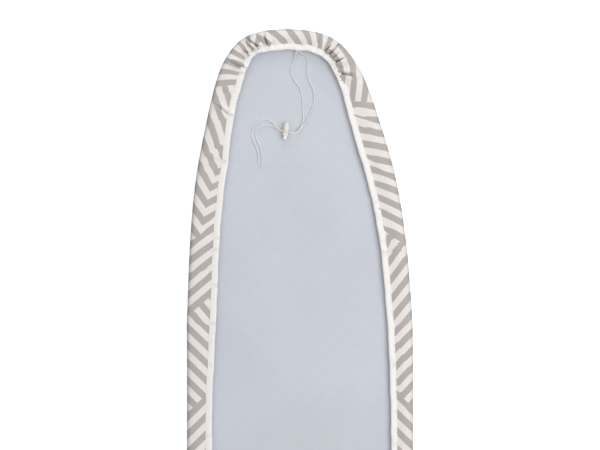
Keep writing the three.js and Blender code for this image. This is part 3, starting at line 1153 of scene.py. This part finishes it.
@dataclass(frozen=True)
class BraidedCord:
    """White cord of fine braided yarns, with painted shade in the grooves between them."""

    white: tuple = srgb(243, 243, 242)
    # Painted shade between the yarns; the random grain also darkens towards it.
    shade: tuple = srgb(206, 207, 209)

    def make(self, groups: ShaderGroups) -> bpy.types.Material:
        """Builds the material.

        Args:
            groups: the shared shader groups.

        Returns:
            The material.
        """
        material, nodes, shader = new_material("braided_cord", 0.7)
        shader.inputs["Sheen Weight"].default_value = 0.2
        flat = place_in_cloth(nodes)
        split = nodes.add("SeparateXYZ")
        nodes.link(flat, split.inputs[0])
        along = nodes.math("MULTIPLY", split.outputs["X"], 2 * math.pi / (1.5 * MM))
        around = nodes.math("MULTIPLY", split.outputs["Y"], 2 * math.pi * 4)
        one = nodes.math("SINE", nodes.math("ADD", along, around))
        two = nodes.math("SINE", nodes.math("SUBTRACT", along, around))
        braid = nodes.math("MAXIMUM", one, two)
        # Painted shade where the braid dips between yarns, plus random grain tone.
        shade = nodes.ramp(braid, -0.3, 0.8, 0.8, 0.0)
        grain = groups.use(nodes, "mottle", place=flat, scale=120.0)
        shade = nodes.math("ADD", shade, nodes.ramp(grain.outputs["Grain"], 0.4, 0.8, 0.0, 0.2))
        nodes.link(nodes.mix(shade, self.white, self.shade), shader.inputs["Base Color"])
        rough = nodes.ramp(braid, -1, 1, 0.85, 0.6)
        nodes.link(rough, shader.inputs["Roughness"])
        nodes.link(nodes.bump(braid, 0.7, 0.12 * MM), shader.inputs["Normal"])
        return material


@dataclass(frozen=True)
class MouldedPlastic:
    """Glossy moulded plastic with a faint flow pattern and fine scuffs."""

    name: str
    colour: tuple
    tint: tuple
    roughness: float = 0.32

    def make(self, groups: ShaderGroups) -> bpy.types.Material:
        """Builds the material.

        Args:
            groups: the shared shader groups.

        Returns:
            The material.
        """
        material, nodes, shader = new_material(self.name, self.roughness)
        shader.inputs["Coat Roughness"].default_value = 0.2
        shader.inputs["Subsurface Weight"].default_value = 0.08
        shader.inputs["Subsurface Radius"].default_value = (0.002, 0.0015, 0.001)
        place = nodes.add("TexCoord").outputs["Object"]
        mottle = groups.use(nodes, "mottle", place=place, scale=140.0)
        flow = nodes.ramp(mottle.outputs["Cloud"], 0.35, 0.65, 0.0, 0.6)
        nodes.link(nodes.mix(flow, self.colour, self.tint), shader.inputs["Base Color"])
        scuff = nodes.ramp(mottle.outputs["Grain"], 0.45, 0.7,
                           self.roughness, self.roughness + 0.16)
        nodes.link(scuff, shader.inputs["Roughness"])
        nodes.link(nodes.bump(mottle.outputs["Grain"], 0.12, 0.05 * MM), shader.inputs["Normal"])
        return material


@dataclass(frozen=True)
class SpringSteel:
    """Drawn steel wire."""

    colour: tuple = srgb(176, 178, 181)

    def make(self, groups: ShaderGroups) -> bpy.types.Material:
        """Builds the material.

        Args:
            groups: the shared shader groups.

        Returns:
            The material.
        """
        material, nodes, shader = new_material("spring_wire", 0.3)
        shader.inputs["Metallic"].default_value = 1.0
        place = nodes.add("TexCoord").outputs["Object"]
        mottle = groups.use(nodes, "mottle", place=place, scale=400.0)
        draw = nodes.ramp(mottle.outputs["Cloud"], 0.3, 0.7, 0.0, 0.5)
        nodes.link(nodes.mix(draw, self.colour, srgb(140, 141, 144)), shader.inputs["Base Color"])
        nodes.link(nodes.ramp(mottle.outputs["Grain"], 0.3, 0.7, 0.22, 0.42),
                   shader.inputs["Roughness"])
        return material


# ---- The cover ----------------------------------------------------------------------------


@dataclass
class Cover:
    """The cloth, the pad and the tape casing."""

    groups: ShaderGroups
    rim: Rim = field(default_factory=Rim)
    step: float = 2.2 * MM
    cloth_thickness: float = 0.7 * MM
    pad_inset: float = 7.6 * MM
    pad_bottom: float = 1.3 * MM
    pad_top: float = 5.3 * MM
    exit_place: float = -19.5 * MM
    left_lap: float = 467 * MM
    right_lap: float = -393 * MM
    patch: float = 76 * MM
    overlap: float = 9 * MM  # of two lengths of tape at a lap
    casing_height: float = 13.2 * MM  # of the casing's middle above the floor
    seam_inset: float = 9.2 * MM  # of the stitches, outward from the hem
    seam_rise: float = 1.02 * MM  # of the stitches above the casing's middle

    def __post_init__(self) -> None:
        """Shares one set of gathers between the cloth and the tape."""
        self.gathers = Gathers(self.rim)
        self.section = SkirtSection(self.rim, self.gathers)

    def build(self) -> list:
        """Builds every piece of the cover and returns them."""
        return [self.make_cloth(), self.make_pad(), *self.make_binding(), self.make_stitches()]

    def make_cloth(self) -> bpy.types.Object:
        """The printed cloth: face, rolled rim and skirt in one sheet."""
        along = self.rim.stations(0.8 * MM, self.step, 250 * MM)
        count = len(along)
        plan = [("flat", i / 5) for i in range(5)] + [("roll", i / 14) for i in range(15)] \
            + [("flap", (i + 1) / 32) for i in range(32)]
        rows = [self.section.row(along, kind, share) for kind, share in plan]
        shell = np.vstack([points for points, _ in rows])
        flat = np.vstack([places for _, places in rows])
        faces = [face[::-1] for face in grid_faces(len(rows), count, True)]
        middle, triangles = fill_inside(rows[0][0][:, :2], 16 * MM)
        level = np.column_stack([middle, np.zeros(len(middle))])
        first = len(shell)
        faces += [[first + i for i in face[::-1]] for face in triangles]
        places = np.vstack([flat, self.rim.straightened(middle)])
        piece = new_object("cover_cloth", np.vstack([shell, level]), faces)
        set_flat_place(piece, places)
        # Painted shade: how deep each point lies in a slit, kept as a UV map that darkens the
        # cloth's colour there.
        gap = np.zeros(len(places))
        upper = shell[:, 2] > 3 * MM
        gap[:len(shell)][upper] = self.gathers.gap(shell[upper, :2])
        set_flat_place(piece, np.column_stack([gap, gap]), "slit_shade")
        weld(piece)
        solid = piece.modifiers.new("thickness", "SOLIDIFY")
        solid.thickness = self.cloth_thickness
        solid.offset = -1
        piece.data.materials.append(PrintedCotton().make(self.groups))
        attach(piece, Body.COVER.value)
        nodes = [n for n in frame["nodes"] if n.startswith(("cover_face", "skirt_"))]
        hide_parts(*nodes)
        round(self.flat_area(along), 4)
        return piece

    def flat_area(self, along: Points) -> float:
        """The area of the cloth as cut: the rim's outline grown by the skirt.

        Args:
            along: places along the rim.

        Returns:
            The area, in square metres.
        """
        extra = (math.pi - 2) * self.section.height / 2
        outward = self.rim.reach(along) - self.section.hidden + extra
        outline = self.rim.point(along) - self.rim.inward(along) * outward[:, None]
        x, y = outline[:, 0], outline[:, 1]
        return abs(float(np.dot(x, np.roll(y, -1)) - np.dot(y, np.roll(x, -1)))) / 2

    def make_pad(self) -> bpy.types.Object:
        """The foam pad: a thin slab with a soft edge and a slightly uneven top."""
        count = int(self.rim.length / (4 * MM))
        along = np.arange(count) * self.rim.length / count
        radius = (self.pad_top - self.pad_bottom) / 2
        inward = self.rim.inward(along)
        edge = self.rim.point(along) + inward * self.pad_inset
        rows = []
        for i in range(9):
            angle = math.pi * i / 8
            depth = radius * (1 - math.sin(angle))
            height = self.pad_bottom + radius * (1 - math.cos(angle))
            ring = edge + inward * depth
            rows.append(np.column_stack([ring, np.full(count, height)]))
        faces = [face[::-1] for face in grid_faces(len(rows), count, True)]
        shell = np.vstack(rows)
        top, triangles = fill_inside(rows[-1][:, :2], 7 * MM)
        bottom, under = fill_inside(rows[0][:, :2], 30 * MM)
        upper = np.column_stack([top, self.pad_top + self._pad_relief(top)])
        upper[:count, 2] = self.pad_top
        lower = np.column_stack([bottom, np.full(len(bottom), self.pad_bottom)])
        first, second = len(shell), len(shell) + len(upper)
        faces += [[first + i for i in face] for face in triangles]
        faces += [[second + i for i in face[::-1]] for face in under]
        vertices = np.vstack([shell, upper, lower])
        piece = new_object("foam_pad", vertices, faces)
        set_flat_place(piece, self.rim.straightened(vertices[:, :2]))
        weld(piece)
        piece.data.materials.append(PaleFoam().make(self.groups))
        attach(piece, Body.COVER.value)
        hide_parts("pad")
        return piece

    @staticmethod
    def _pad_relief(place: Points) -> Points:
        """The shallow waves of the pad's top, never above the slab's own height.

        Args:
            place: points of the top, one row each.

        Returns:
            The heights, in metres.
        """
        x, y = place[:, 0] / MM, place[:, 1] / MM
        waves = np.sin(x / 37 + 0.6 * np.sin(y / 61)) * np.sin(y / 71 + 1.1) \
            + 0.5 * np.sin(x / 19 - y / 43)
        return -(waves + 1.5) * 0.12 * MM

    def make_binding(self) -> list:
        """The tape casing: two nose lengths, the long length and the join patch."""
        length = self.rim.length
        whole = length + self.right_lap - self.patch
        spans = (
            ("nose_left", self.exit_place - 1.5 * MM, self.left_lap, ("nose_left",), False),
            ("long", self.left_lap, whole, ("left", "tail", "right"), True),
            ("join", whole, length + self.right_lap, ("join_right",), False),
            ("nose_right", length + self.right_lap, length + self.exit_place,
             ("nose_right",), True),
        )
        made = WhiteTape().make(self.groups)
        pieces = []
        for name, start, end, nodes, under in spans:
            piece = self._tape(f"binding_tape_{name}", start, end, under)
            piece.data.materials.append(made)
            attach(piece, Body.COVER.value)
            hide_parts(*(f"binding_{node}" for node in nodes))
            pieces.append(piece)
        return pieces

    def hem_rise(self, along: Points) -> Points:
        """How far the gathers lift the hem.

        Args:
            along: places along the rim.

        Returns:
            The heights, in metres.
        """
        reach = self.rim.reach(along)
        depth = reach - 6 * MM
        place = self.rim.point(along) + self.rim.inward(along) * depth[:, None]
        fullness = self.gathers.fullness(along)
        lift = self.gathers.ripple(along) * fullness * 0.8
        lift += self.gathers.swell(along, depth)
        lift += 0.8 * self.gathers.crease(place, CREASES)
        return self.gathers.pressed(lift)

    def hem_waver(self, along: Points) -> Points:
        """How far the hem wavers in and out.

        Args:
            along: places along the rim.

        Returns:
            The shifts, in metres.
        """
        a = self.gathers.phases
        turn = 2 * math.pi * along / MM
        slow = np.sin(turn / 71 + a[7]) + 0.6 * np.sin(turn / 33 + a[8])
        return (0.55 + 0.9 * self.gathers.fullness(along)) * 0.45 * MM * slow

    def _tape(self, name: str, start: float, end: float, under: bool) -> bpy.types.Object:
        """One length of the casing.

        Args:
            name: the piece's name.
            start: where it starts along the rim.
            end: where it ends.
            under: whether its ends lie under its neighbours' ends.

        Returns:
            The piece.
        """
        # Half sections in millimetres: inward from the hem, and above the casing's middle.
        top = ((-11, 0.95), (-10.3, 1.12), (-9.5, 1.02), (-8.9, 1.0), (-8.2, 1.25), (-6.5, 1.6),
               (-4.6, 1.9), (-2.8, 1.98), (-1.3, 1.66), (-0.4, 0.95), (0, 0))
        slot = ((-0.55, 0), (-0.95, 0.7), (-1.9, 1.28), (-4.0, 1.3), (-6.5, 1.0), (-9, 0.6),
                (-11, 0.55))
        below = [(u, -z) for u, z in top[-2::-1]]
        inner = [(u, -z) for u, z in slot[::-1]] + [(u, z) for u, z in slot[1:]]
        ring = np.array([*top, *below, *inner]) * MM
        overlap = self.overlap
        start, end = (start - overlap, end + overlap) if under else (start, end)
        count = max(8, int((end - start) / (1.1 * MM)))
        along = np.linspace(start, end, count)
        lap = 1 - ease(np.minimum(along - start, end - along), overlap, 2 * overlap)
        # At a lap the lower tape is pressed flat, and the upper one stands up over it.
        raised, swollen = (-0.2 * MM * lap, 1 - 0.12 * lap) if under \
            else (0.5 * MM * lap, 1 + 0.2 * lap)
        reach = self.rim.reach(along) + self.hem_waver(along)
        point, inward = self.rim.point(along), self.rim.inward(along)
        rise = self.hem_rise(along) + raised
        a = self.gathers.phases
        turn = 2 * math.pi * along / MM
        ridges = np.abs(np.sin(turn / 2 / 5.1 + 1.6 * np.sin(turn / 37 + a[9]))) ** 0.6 - 0.7
        size = 0.75 + 0.25 * np.sin(turn / 17 + a[10])
        pucker = (0.10 + self.gathers.fullness(along)) * MM * ridges * size
        rows, flat = [], []
        for i, (u, z) in enumerate(ring):
            depth = reach + u
            on_top = math.copysign(1, z) if z else 0
            height = self.casing_height + z * swollen + rise + pucker * on_top
            place = point + inward * depth[:, None]
            rows.append(np.column_stack([place, height]))
            flat.append(np.column_stack([along, np.full(count, i * 1.2 * MM)]))
        faces = grid_faces(len(rows), count, False)
        last = (len(rows) - 1) * count
        faces += [[last + c, last + c + 1, c + 1, c] for c in range(count - 1)]
        faces = [face[::-1] for face in faces]
        for column, turned in ((0, False), (count - 1, True)):
            cap = [r * count + column for r in range(len(rows))]
            faces.append(cap[::-1] if turned else cap)
        piece = new_object(name, np.vstack(rows), faces)
        set_flat_place(piece, np.vstack(flat))
        turn_outward(piece)
        return piece

    def make_stitches(self) -> bpy.types.Object:
        """The lockstitch that holds the tape on, a thread's stitches near its outer edge."""
        pitch, long, half = 3.0 * MM, 2.3 * MM, 0.26 * MM
        along = np.arange(0, self.rim.length - pitch, pitch)
        shape = [(-0.5, 0.0), (-0.3, 0.8), (0.0, 1.0), (0.3, 0.8), (0.5, 0.0)]
        sides = 6
        vertices, faces = [], []
        centres = {}
        for share, _ in shape:
            at = along + share * long
            reach = self.rim.reach(at) + self.hem_waver(at) - self.seam_inset
            spot = self.rim.point(at) + self.rim.inward(at) * reach[:, None]
            height = self.casing_height + self.seam_rise + self.hem_rise(at)
            centres[share] = np.column_stack([spot, height])
        inward = self.rim.inward(along)
        for i in range(len(along)):
            first = len(vertices)
            for share, size in shape:
                centre = centres[share][i]
                thick = half * (0.25 + 0.75 * size)
                for k in range(sides):
                    angle = 2 * math.pi * k / sides
                    side = thick * math.cos(angle)
                    vertices.append((centre[0] + inward[i][0] * side,
                                     centre[1] + inward[i][1] * side,
                                     centre[2] + thick * math.sin(angle) - 0.1 * MM * (1 - size)))
            faces += [[first + r * sides + k, first + r * sides + (k + 1) % sides,
                       first + (r + 1) * sides + (k + 1) % sides, first + (r + 1) * sides + k]
                      for r in range(len(shape) - 1) for k in range(sides)]
            faces.append([first + k for k in range(sides)][::-1])
            faces.append([first + (len(shape) - 1) * sides + k for k in range(sides)])
        piece = new_object("casing_stitches", np.array(vertices), faces)
        piece.data.materials.append(SewingThread().make(self.groups))
        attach(piece, Body.COVER.value)
        return piece


@dataclass(frozen=True)
class SewingThread:
    """Twisted white polyester thread."""

    white: tuple = srgb(238, 236, 233)

    def make(self, groups: ShaderGroups) -> bpy.types.Material:
        """Builds the material.

        Args:
            groups: the shared shader groups.

        Returns:
            The material.
        """
        material, nodes, shader = new_material("sewing_thread", 0.6)
        place = nodes.add("TexCoord").outputs["Object"]
        mottle = groups.use(nodes, "mottle", place=place, scale=300.0)
        shade = nodes.ramp(mottle.outputs["Cloud"], 0.3, 0.7, 0.0, 0.4)
        nodes.link(nodes.mix(shade, self.white, srgb(205, 202, 198)), shader.inputs["Base Color"])
        nodes.link(nodes.ramp(mottle.outputs["Grain"], 0.3, 0.7, 0.5, 0.7),
                   shader.inputs["Roughness"])
        return material


# ---- The string and its lock --------------------------------------------------------------


@dataclass(frozen=True)
class LockFrame:
    """Where the cord lock lies: its middle, where the string passes, and its two directions."""

    centre: tuple = (-24.7, 448.0, 10.8)
    through: Vector = field(default_factory=lambda: joint_axis("lock_slide"))
    barrel: Vector = field(default_factory=lambda: joint_axis("button_press"))

    def matrix(self) -> Matrix:
        """Takes a lock drawn upright, with the string along X, to its place."""
        across = Vector((0, 0, -1))
        turn = Matrix((self.through, across, self.barrel)).transposed().to_4x4()
        return Matrix.Translation(Vector(self.centre) * MM) @ turn

    def strand(self, rise: float) -> list:
        """The straight stretch of a strand through the lock, in millimetres."""
        middle = Vector(self.centre)
        return [tuple(middle + self.through * place + Vector((0, 0, rise)))
                for place in (17, 12, 5, -5, -10)]


def joint_axis(name: str) -> Vector:
    """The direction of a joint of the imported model."""
    found = [j for j in frame["joints"] if j["name"] == name]
    return Vector(found[0]["axis"]).normalized()


@dataclass
class Drawstring:
    """The two free ends of the string, and the run inside the casing."""

    groups: ShaderGroups
    cover: Cover
    lock: LockFrame
    diameter: float = 1.8 * MM
    inset: float = 1.8 * MM  # of the string's middle, outward from the hem
    pitch: float = 2.1  # between the two strands in the lock, in millimetres
    rest: float = 6.5  # height of its middle where it lies on the pad, in millimetres
    lead: float = 1.5 * MM  # a free end starts out in line with the run
    exit_width: float = 12 * MM

    def build(self, on_string: list) -> list:
        """Builds both ends.

        Args:
            on_string: the lock's pieces; not used.

        Returns:
            The two pieces.
        """
        material = BraidedCord().make(self.groups)
        made = []
        for name, route, pieces in (("outer", self.outer_route(), on_string),
                                    ("inner", self.inner_route(), [])):
            line = catmull_rom(np.array(route), 14) * MM
            line = self._even(line, 1.0 * MM)
            piece = self._tube(f"string_end_{name}", line)
            piece.data.materials.append(material)
            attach(piece, Body.COVER.value)
            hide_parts(f"drawstring_end_{name}")
            made.append(piece)
        run = bpy.data.objects["drawstring_run"]
        run.material_slots[0].material = PlainCord().make(self.groups)
        return made

    def casing_place(self, along: float) -> tuple:
        """Where the string lies in the casing, in millimetres.

        Args:
            along: the place along the rim.

        Returns:
            The point.
        """
        at = np.array([along])
        depth = self.cover.rim.reach(at) - self.inset
        spot = self.cover.rim.point(at) + self.cover.rim.inward(at) * depth[:, None]
        return (spot[0, 0] / MM, spot[0, 1] / MM, self.cover.casing_height / MM)

    def outer_route(self) -> list:
        """The end that trails on the outside, in millimetres."""
        exit_right = self.cover.exit_place - self.exit_width / 2
        r = self.rest
        return [
            self.casing_place(exit_right), self.casing_place(exit_right + self.lead),
            (-3.3, 588.8, 14.1), (-5.5, 586.3, 13.7), (-6.7, 583, 11.8), (-7.9, 579.2, 9.2),
            (-9.8, 573.8, 7.2), (-13, 566.2, r), (-15.4, 555.5, r), (-14.6, 546, r),
            (-8.6, 535.3, r), (-1.6, 525.5, r), (2.5, 515, r), (4.4, 501.7, r), (5.2, 484, r),
            (5.8, 468.5, 6.9), (2.6, 456.5, 8.9), (-2.6, 448.8, 10.9),
            *self.lock.strand(self.pitch / 2),
            (-38.6, 453.4, 10.8), (-43.2, 459.3, 8.8), (-49.5, 465.3, 6.9), (-59.7, 469.3, r),
            (-70.4, 466.2, r), (-78.3, 458.6, r), (-83.1, 447.5, r), (-82.4, 436, r),
            (-76.6, 423, r), (-72.6, 410, r), (-71.8, 389.7, r),
        ]

    def inner_route(self) -> list:
        """The end that trails on the inside, in millimetres."""
        exit_left = self.cover.exit_place + self.exit_width / 2
        r = self.rest
        return [
            self.casing_place(exit_left), self.casing_place(exit_left - self.lead),
            (-5.8, 588.9, 12.1), (-3, 587.4, 11.4), (0.6, 585.1, 10.5), (4.6, 582.4, 8.9),
            (8.8, 579.8, 7.2), (12.6, 575.6, r), (13.8, 568.5, r), (12.4, 559, r),
            (12.2, 549, r), (16.3, 535.9, r), (22.1, 522.6, r), (24.6, 509, r),
            (23.6, 495.8, r), (19.2, 483.8, r), (13.6, 471, r), (6.4, 459.2, 7),
            (-1, 450.4, 8.6),
            *self.lock.strand(-self.pitch / 2),
            (-40.6, 453, 8.4), (-46.6, 456.4, 7), (-53.5, 458.7, r), (-61.5, 458.6, r),
            (-70.2, 455.6, r), (-76, 449, r), (-76.6, 440, r), (-73.3, 430, r),
            (-68.6, 420, r), (-66.2, 408, r), (-65.9, 396, r), (-67.1, 385.2, r),
        ]

    @staticmethod
    def _even(line: Points, step: float) -> Points:
        """The same line with evenly spaced points.

        Args:
            line: the points, one row each.
            step: the spacing, in metres.

        Returns:
            The new points.
        """
        places = along_line(line)
        count = int(places[-1] / step) + 1
        at = np.linspace(0, places[-1], count)
        return np.column_stack([np.interp(at, places, line[:, k]) for k in range(3)])

    def _tube(self, name: str, line: Points) -> bpy.types.Object:
        """A round cord along a line, with a far end that narrows and is capped.

        Args:
            name: the piece's name.
            line: the cord's middle, one row for each point.

        Returns:
            The piece.
        """
        sides, radius = 14, self.diameter / 2
        way = np.gradient(line, axis=0)
        way /= np.linalg.norm(way, axis=1)[:, None]
        up = np.array([0.0, 0.0, 1.0])
        across = np.cross(way, up)
        across /= np.linalg.norm(across, axis=1)[:, None]
        over = np.cross(across, way)
        places = along_line(line)
        scale = np.ones(len(line))
        scale[-1], scale[-2] = 0.55, 0.92
        rows, flat = [], []
        for i in range(len(line)):
            angles = 2 * math.pi * np.arange(sides) / sides
            size = radius * scale[i]
            ring = line[i] + size * (np.cos(angles)[:, None] * across[i]
                                     + np.sin(angles)[:, None] * over[i])
            rows.append(ring)
            flat.append(np.column_stack([np.full(sides, places[i]), np.arange(sides) / sides]))
        faces = grid_faces(len(rows), sides, True)
        faces.append(list(range(sides)))
        faces.append([(len(rows) - 1) * sides + k for k in range(sides)][::-1])
        piece = new_object(name, np.vstack(rows), faces)
        set_flat_place(piece, np.vstack(flat))
        turn_outward(piece)
        return piece


@dataclass(frozen=True)
class PlainCord:
    """The same white cord where it runs hidden in the casing."""

    def make(self, groups: ShaderGroups) -> bpy.types.Material:
        """Builds the material.

        Args:
            groups: the shared shader groups.

        Returns:
            The material.
        """
        material, nodes, shader = new_material("hidden_cord", 0.75)
        place = nodes.add("TexCoord").outputs["Object"]
        mottle = groups.use(nodes, "mottle", place=place, scale=200.0)
        shade = nodes.ramp(mottle.outputs["Grain"], 0.3, 0.7, 0.0, 0.5)
        nodes.link(nodes.mix(shade, srgb(240, 240, 239), srgb(208, 208, 210)),
                   shader.inputs["Base Color"])
        nodes.link(nodes.bump(mottle.outputs["Grain"], 0.4, 0.1 * MM), shader.inputs["Normal"])
        return material


@dataclass
class CordLock:
    """The barrel, its sprung button and the spring inside.

    Sizes are in millimetres, and heights are measured from the string along the barrel's axis.
    """

    groups: ShaderGroups
    lock: LockFrame
    radius: float = 5.2
    bore: float = 3.5
    stem: float = 3.2
    top: float = 15.2
    shoulder: float = 8.2  # where the barrel starts to round in to its top
    mouth: float = -8.0
    roof: float = 12.6
    tip: float = -14.6
    stem_top: float = 5.5
    window: tuple = (-1.2, 3.4)
    window_half: float = 2.25
    cutter_reach: float = 9  # past the barrel on both sides
    edge_bevel: float = 0.18

    def build(self) -> list:
        """Builds the lock and returns its pieces."""
        barrel = self._turned("lock_barrel", self.barrel_profile(), 72)
        self._cut_slot(barrel, *self.window)
        self._dress(barrel, MouldedPlastic("cream_plastic", srgb(234, 228, 217),
                                           srgb(229, 217, 211)),
                    Body.LOCK, "cord_lock_body")
        button = self._turned("lock_plunger", self.button_profile(), 56)
        self._cut_slot(button, -self.window[1], -self.window[0])
        self._dress(button, MouldedPlastic("white_plastic", srgb(248, 248, 245),
                                           srgb(240, 240, 236), 0.25),
                    Body.BUTTON, "cord_lock_button")
        spring = bpy.data.objects["cord_lock_spring"]
        spring.material_slots[0].material = SpringSteel().make(self.groups)
        return [barrel, button]

    def barrel_profile(self) -> list:
        """The barrel's closed outline: radius and height, in millimetres."""
        r = self.radius
        outside = [(self.bore + 0.25, self.mouth), (r - 0.7, self.mouth),
                   (r - 0.2, self.mouth + 0.25), (r, self.mouth + 0.8), (r, -4.6),
                   (r - 0.45, -4.2), (r - 0.45, -3.5), (r, -3.1), (r, self.shoulder)]
        for angle in np.linspace(0.12, 1.25, 9):
            outside.append((r - 2.6 * (1 - math.cos(angle)) - 0.4 * angle,
                            self.shoulder + (self.top - self.shoulder) * math.sin(angle)))
        outside += [(1.6, self.top - 0.05), (0, self.top)]
        inside = [(0, self.roof), (self.bore - 0.4, self.roof), (self.bore, self.roof - 0.4),
                  (self.bore, self.mouth + 0.3)]
        return outside + inside

    def button_profile(self) -> list:
        """The button's closed outline: radius and height, in millimetres."""
        dome = [(self.stem * math.sin(a), self.tip + 2.6 * (1 - math.cos(a)))
                for a in np.linspace(0, math.pi / 2, 10)]
        return dome + [(self.stem, self.stem_top - 0.3), (self.stem - 0.3, self.stem_top),
                       (0, self.stem_top)]

    def _turned(self, name: str, profile: list, segments: int) -> bpy.types.Object:
        """A closed profile turned round the barrel's axis and put in place.

        Args:
            name: the piece's name.
            profile: pairs of radius and height, in millimetres.
            segments: how many steps the turn has.

        Returns:
            The piece.
        """
        mesh = bmesh.new()
        edge = []
        for radius, height in profile:
            edge.append(mesh.verts.new((radius * MM, 0, height * MM)))
        wires = [mesh.edges.new((a, b)) for a, b in zip(edge, edge[1:])]
        if profile[-1][0] > 0:
            wires.append(mesh.edges.new((edge[-1], edge[0])))
        bmesh.ops.spin(mesh, geom=[*edge, *wires], axis=(0, 0, 1), cent=(0, 0, 0),
                       angle=2 * math.pi, steps=segments, use_merge=True, use_duplicate=False)
        bmesh.ops.remove_doubles(mesh, verts=mesh.verts, dist=0.01 * MM)
        bmesh.ops.recalc_face_normals(mesh, faces=mesh.faces)
        mesh.transform(self.lock.matrix())
        return link_mesh(name, mesh, smooth=True)

    def _cut_slot(self, piece: bpy.types.Object, low: float, high: float) -> None:
        """Cuts the string's cross hole, with a rounded mouth, through a piece.

        Args:
            piece: the piece.
            low: the hole's lower edge, in millimetres.
            high: its upper edge.
        """
        corner = min(1.1, (high - low) / 2 - 0.05)
        middle, straight = (high + low) / 2, (high - low) / 2 - corner
        outline = []
        for cx, cz, start in ((1, 1, 0), (-1, 1, 90), (-1, -1, 180), (1, -1, 270)):
            for step in range(7):
                angle = math.radians(start + 15 * step)
                outline.append((cx * (self.window_half - corner) + corner * math.cos(angle),
                                middle + cz * straight + corner * math.sin(angle)))
        mesh = bmesh.new()
        rings = [[mesh.verts.new((x * MM, y * MM, z * MM)) for y, z in outline]
                 for x in (-self.cutter_reach, self.cutter_reach)]
        count = len(outline)
        for i in range(count):
            mesh.faces.new((rings[0][i], rings[0][(i + 1) % count],
                            rings[1][(i + 1) % count], rings[1][i]))
        mesh.faces.new(rings[0][::-1])
        mesh.faces.new(rings[1])
        bmesh.ops.recalc_face_normals(mesh, faces=mesh.faces)
        mesh.transform(self.lock.matrix())
        cutter = link_mesh("slot_cutter", mesh, smooth=False)
        cut = piece.modifiers.new("slot", "BOOLEAN")
        cut.operation = "DIFFERENCE"
        cut.solver = "EXACT"
        cut.object = cutter
        bpy.context.view_layer.update()
        seen = bpy.context.evaluated_depsgraph_get()
        shaped = bpy.data.meshes.new_from_object(piece.evaluated_get(seen))
        piece.modifiers.clear()
        piece.data = shaped
        bpy.data.objects.remove(cutter)
        bevel = piece.modifiers.new("edges", "BEVEL")
        bevel.width = self.edge_bevel * MM
        bevel.segments = 2
        bevel.limit_method = "ANGLE"
        bevel.angle_limit = math.radians(50)

    def _dress(self, piece: bpy.types.Object, finish: MouldedPlastic, body: Body,
               node: str) -> None:
        """Gives a piece its material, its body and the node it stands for.

        Args:
            piece: the piece.
            finish: its finish.
            body: its body.
            node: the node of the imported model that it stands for.
        """
        piece.data.materials.clear()
        piece.data.materials.append(finish.make(self.groups))
        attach(piece, body.value)
        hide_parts(node)


# ---- The studio ---------------------------------------------------------------------------


@dataclass
class Studio:
    """A pale floor, soft light and a camera that looks straight down on the nose half."""

    frame_width: float = 1038 * MM  # seen across by the camera, at the cover's height
    centre: tuple = (0.0, 0.286)
    distance: float = 3.2
    floor_tone: tuple = srgb(250, 250, 250)
    floor_glow: float = 0.6
    sky: tuple = (0.13, 0.80)  # at the horizon and overhead
    lights: tuple = (
        ("key", (1.2, 0.15, 1.75), 18.5, 1.3),
        ("beyond_nose", (0.0, 1.9, 0.5), 7, 0.8),
    )

    def build(self) -> None:
        """Builds the floor, the lights and the camera, with plain colours."""
        bpy.context.scene.view_settings.view_transform = "Standard"
        self.make_camera()
        self.make_floor()
        self.make_world()
        self.make_lights()

    def make_camera(self) -> None:
        """The camera, straight above."""
        data = bpy.data.cameras.new("camera")
        data.sensor_width = 36
        data.lens = 36 * self.distance / self.frame_width
        data.clip_end = 50
        camera = bpy.data.objects.new("camera", data)
        camera.location = (*self.centre, self.distance + 12 * MM)
        bpy.context.scene.collection.objects.link(camera)
        bpy.context.scene.camera = camera

    def make_floor(self) -> None:
        """A plain white floor just under the cover, which glows but throws no light on it."""
        size, level = 12.0, -0.6 * MM
        corners = np.array([(-size, -size, level), (size, -size, level),
                            (size, size, level), (-size, size, level)])
        floor = new_object("floor", corners, [[0, 1, 2, 3]], smooth=False)
        material, _, shader = new_material("floor", 0.9)
        shader.inputs["Base Color"].default_value = self.floor_tone
        shader.inputs["Specular IOR Level"].default_value = 0.1
        shader.inputs["Emission Color"].default_value = (1, 1, 1, 1)
        shader.inputs["Emission Strength"].default_value = self.floor_glow
        floor.data.materials.append(material)
        floor.visible_diffuse = False
        floor.visible_glossy = False

    def make_world(self) -> None:
        """Soft light from all round, strongest overhead and weak from below."""
        world = bpy.data.worlds.new("studio")
        world.use_nodes = True
        nodes = Nodes(world.node_tree)
        split = nodes.add("SeparateXYZ")
        nodes.link(nodes.add("TexCoord").outputs["Generated"], split.inputs[0])
        strength = nodes.ramp(split.outputs["Z"], -0.2, 1.0, *self.sky)
        nodes.link(strength, world.node_tree.nodes["Background"].inputs["Strength"])
        world.node_tree.nodes["Background"].inputs["Color"].default_value = (1, 1, 1, 1)
        bpy.context.scene.world = world

    def make_lights(self) -> None:
        """A wide key from the right, and a low, wide light beyond the nose."""
        for name, place, power, size in self.lights:
            data = bpy.data.lights.new(name, "AREA")
            data.energy = power
            data.size = size
            light = bpy.data.objects.new(name, data)
            light.location = place
            aim = Vector((0, 0.25, 0)) - Vector(place)
            light.rotation_euler = aim.to_track_quat("-Z", "Y").to_euler()
            bpy.context.scene.collection.objects.link(light)


def main() -> None:
    """Builds the studio, the cover, the lock and the string, in that order."""
    logging.basicConfig(level=logging.INFO, format="%(name)s: %(message)s")
    Studio().build()
    groups = ShaderGroups()
    cover = Cover(groups)
    lock = LockFrame()
    lock_pieces = CordLock(groups, lock).build()
    string = Drawstring(groups, cover, lock).build(lock_pieces)
    for piece in (*string, *lock_pieces, *cover.build()):
        LOG.info("%s: %d faces", piece.name, len(piece.data.polygons))


if __name__ == "__main__":
    main()
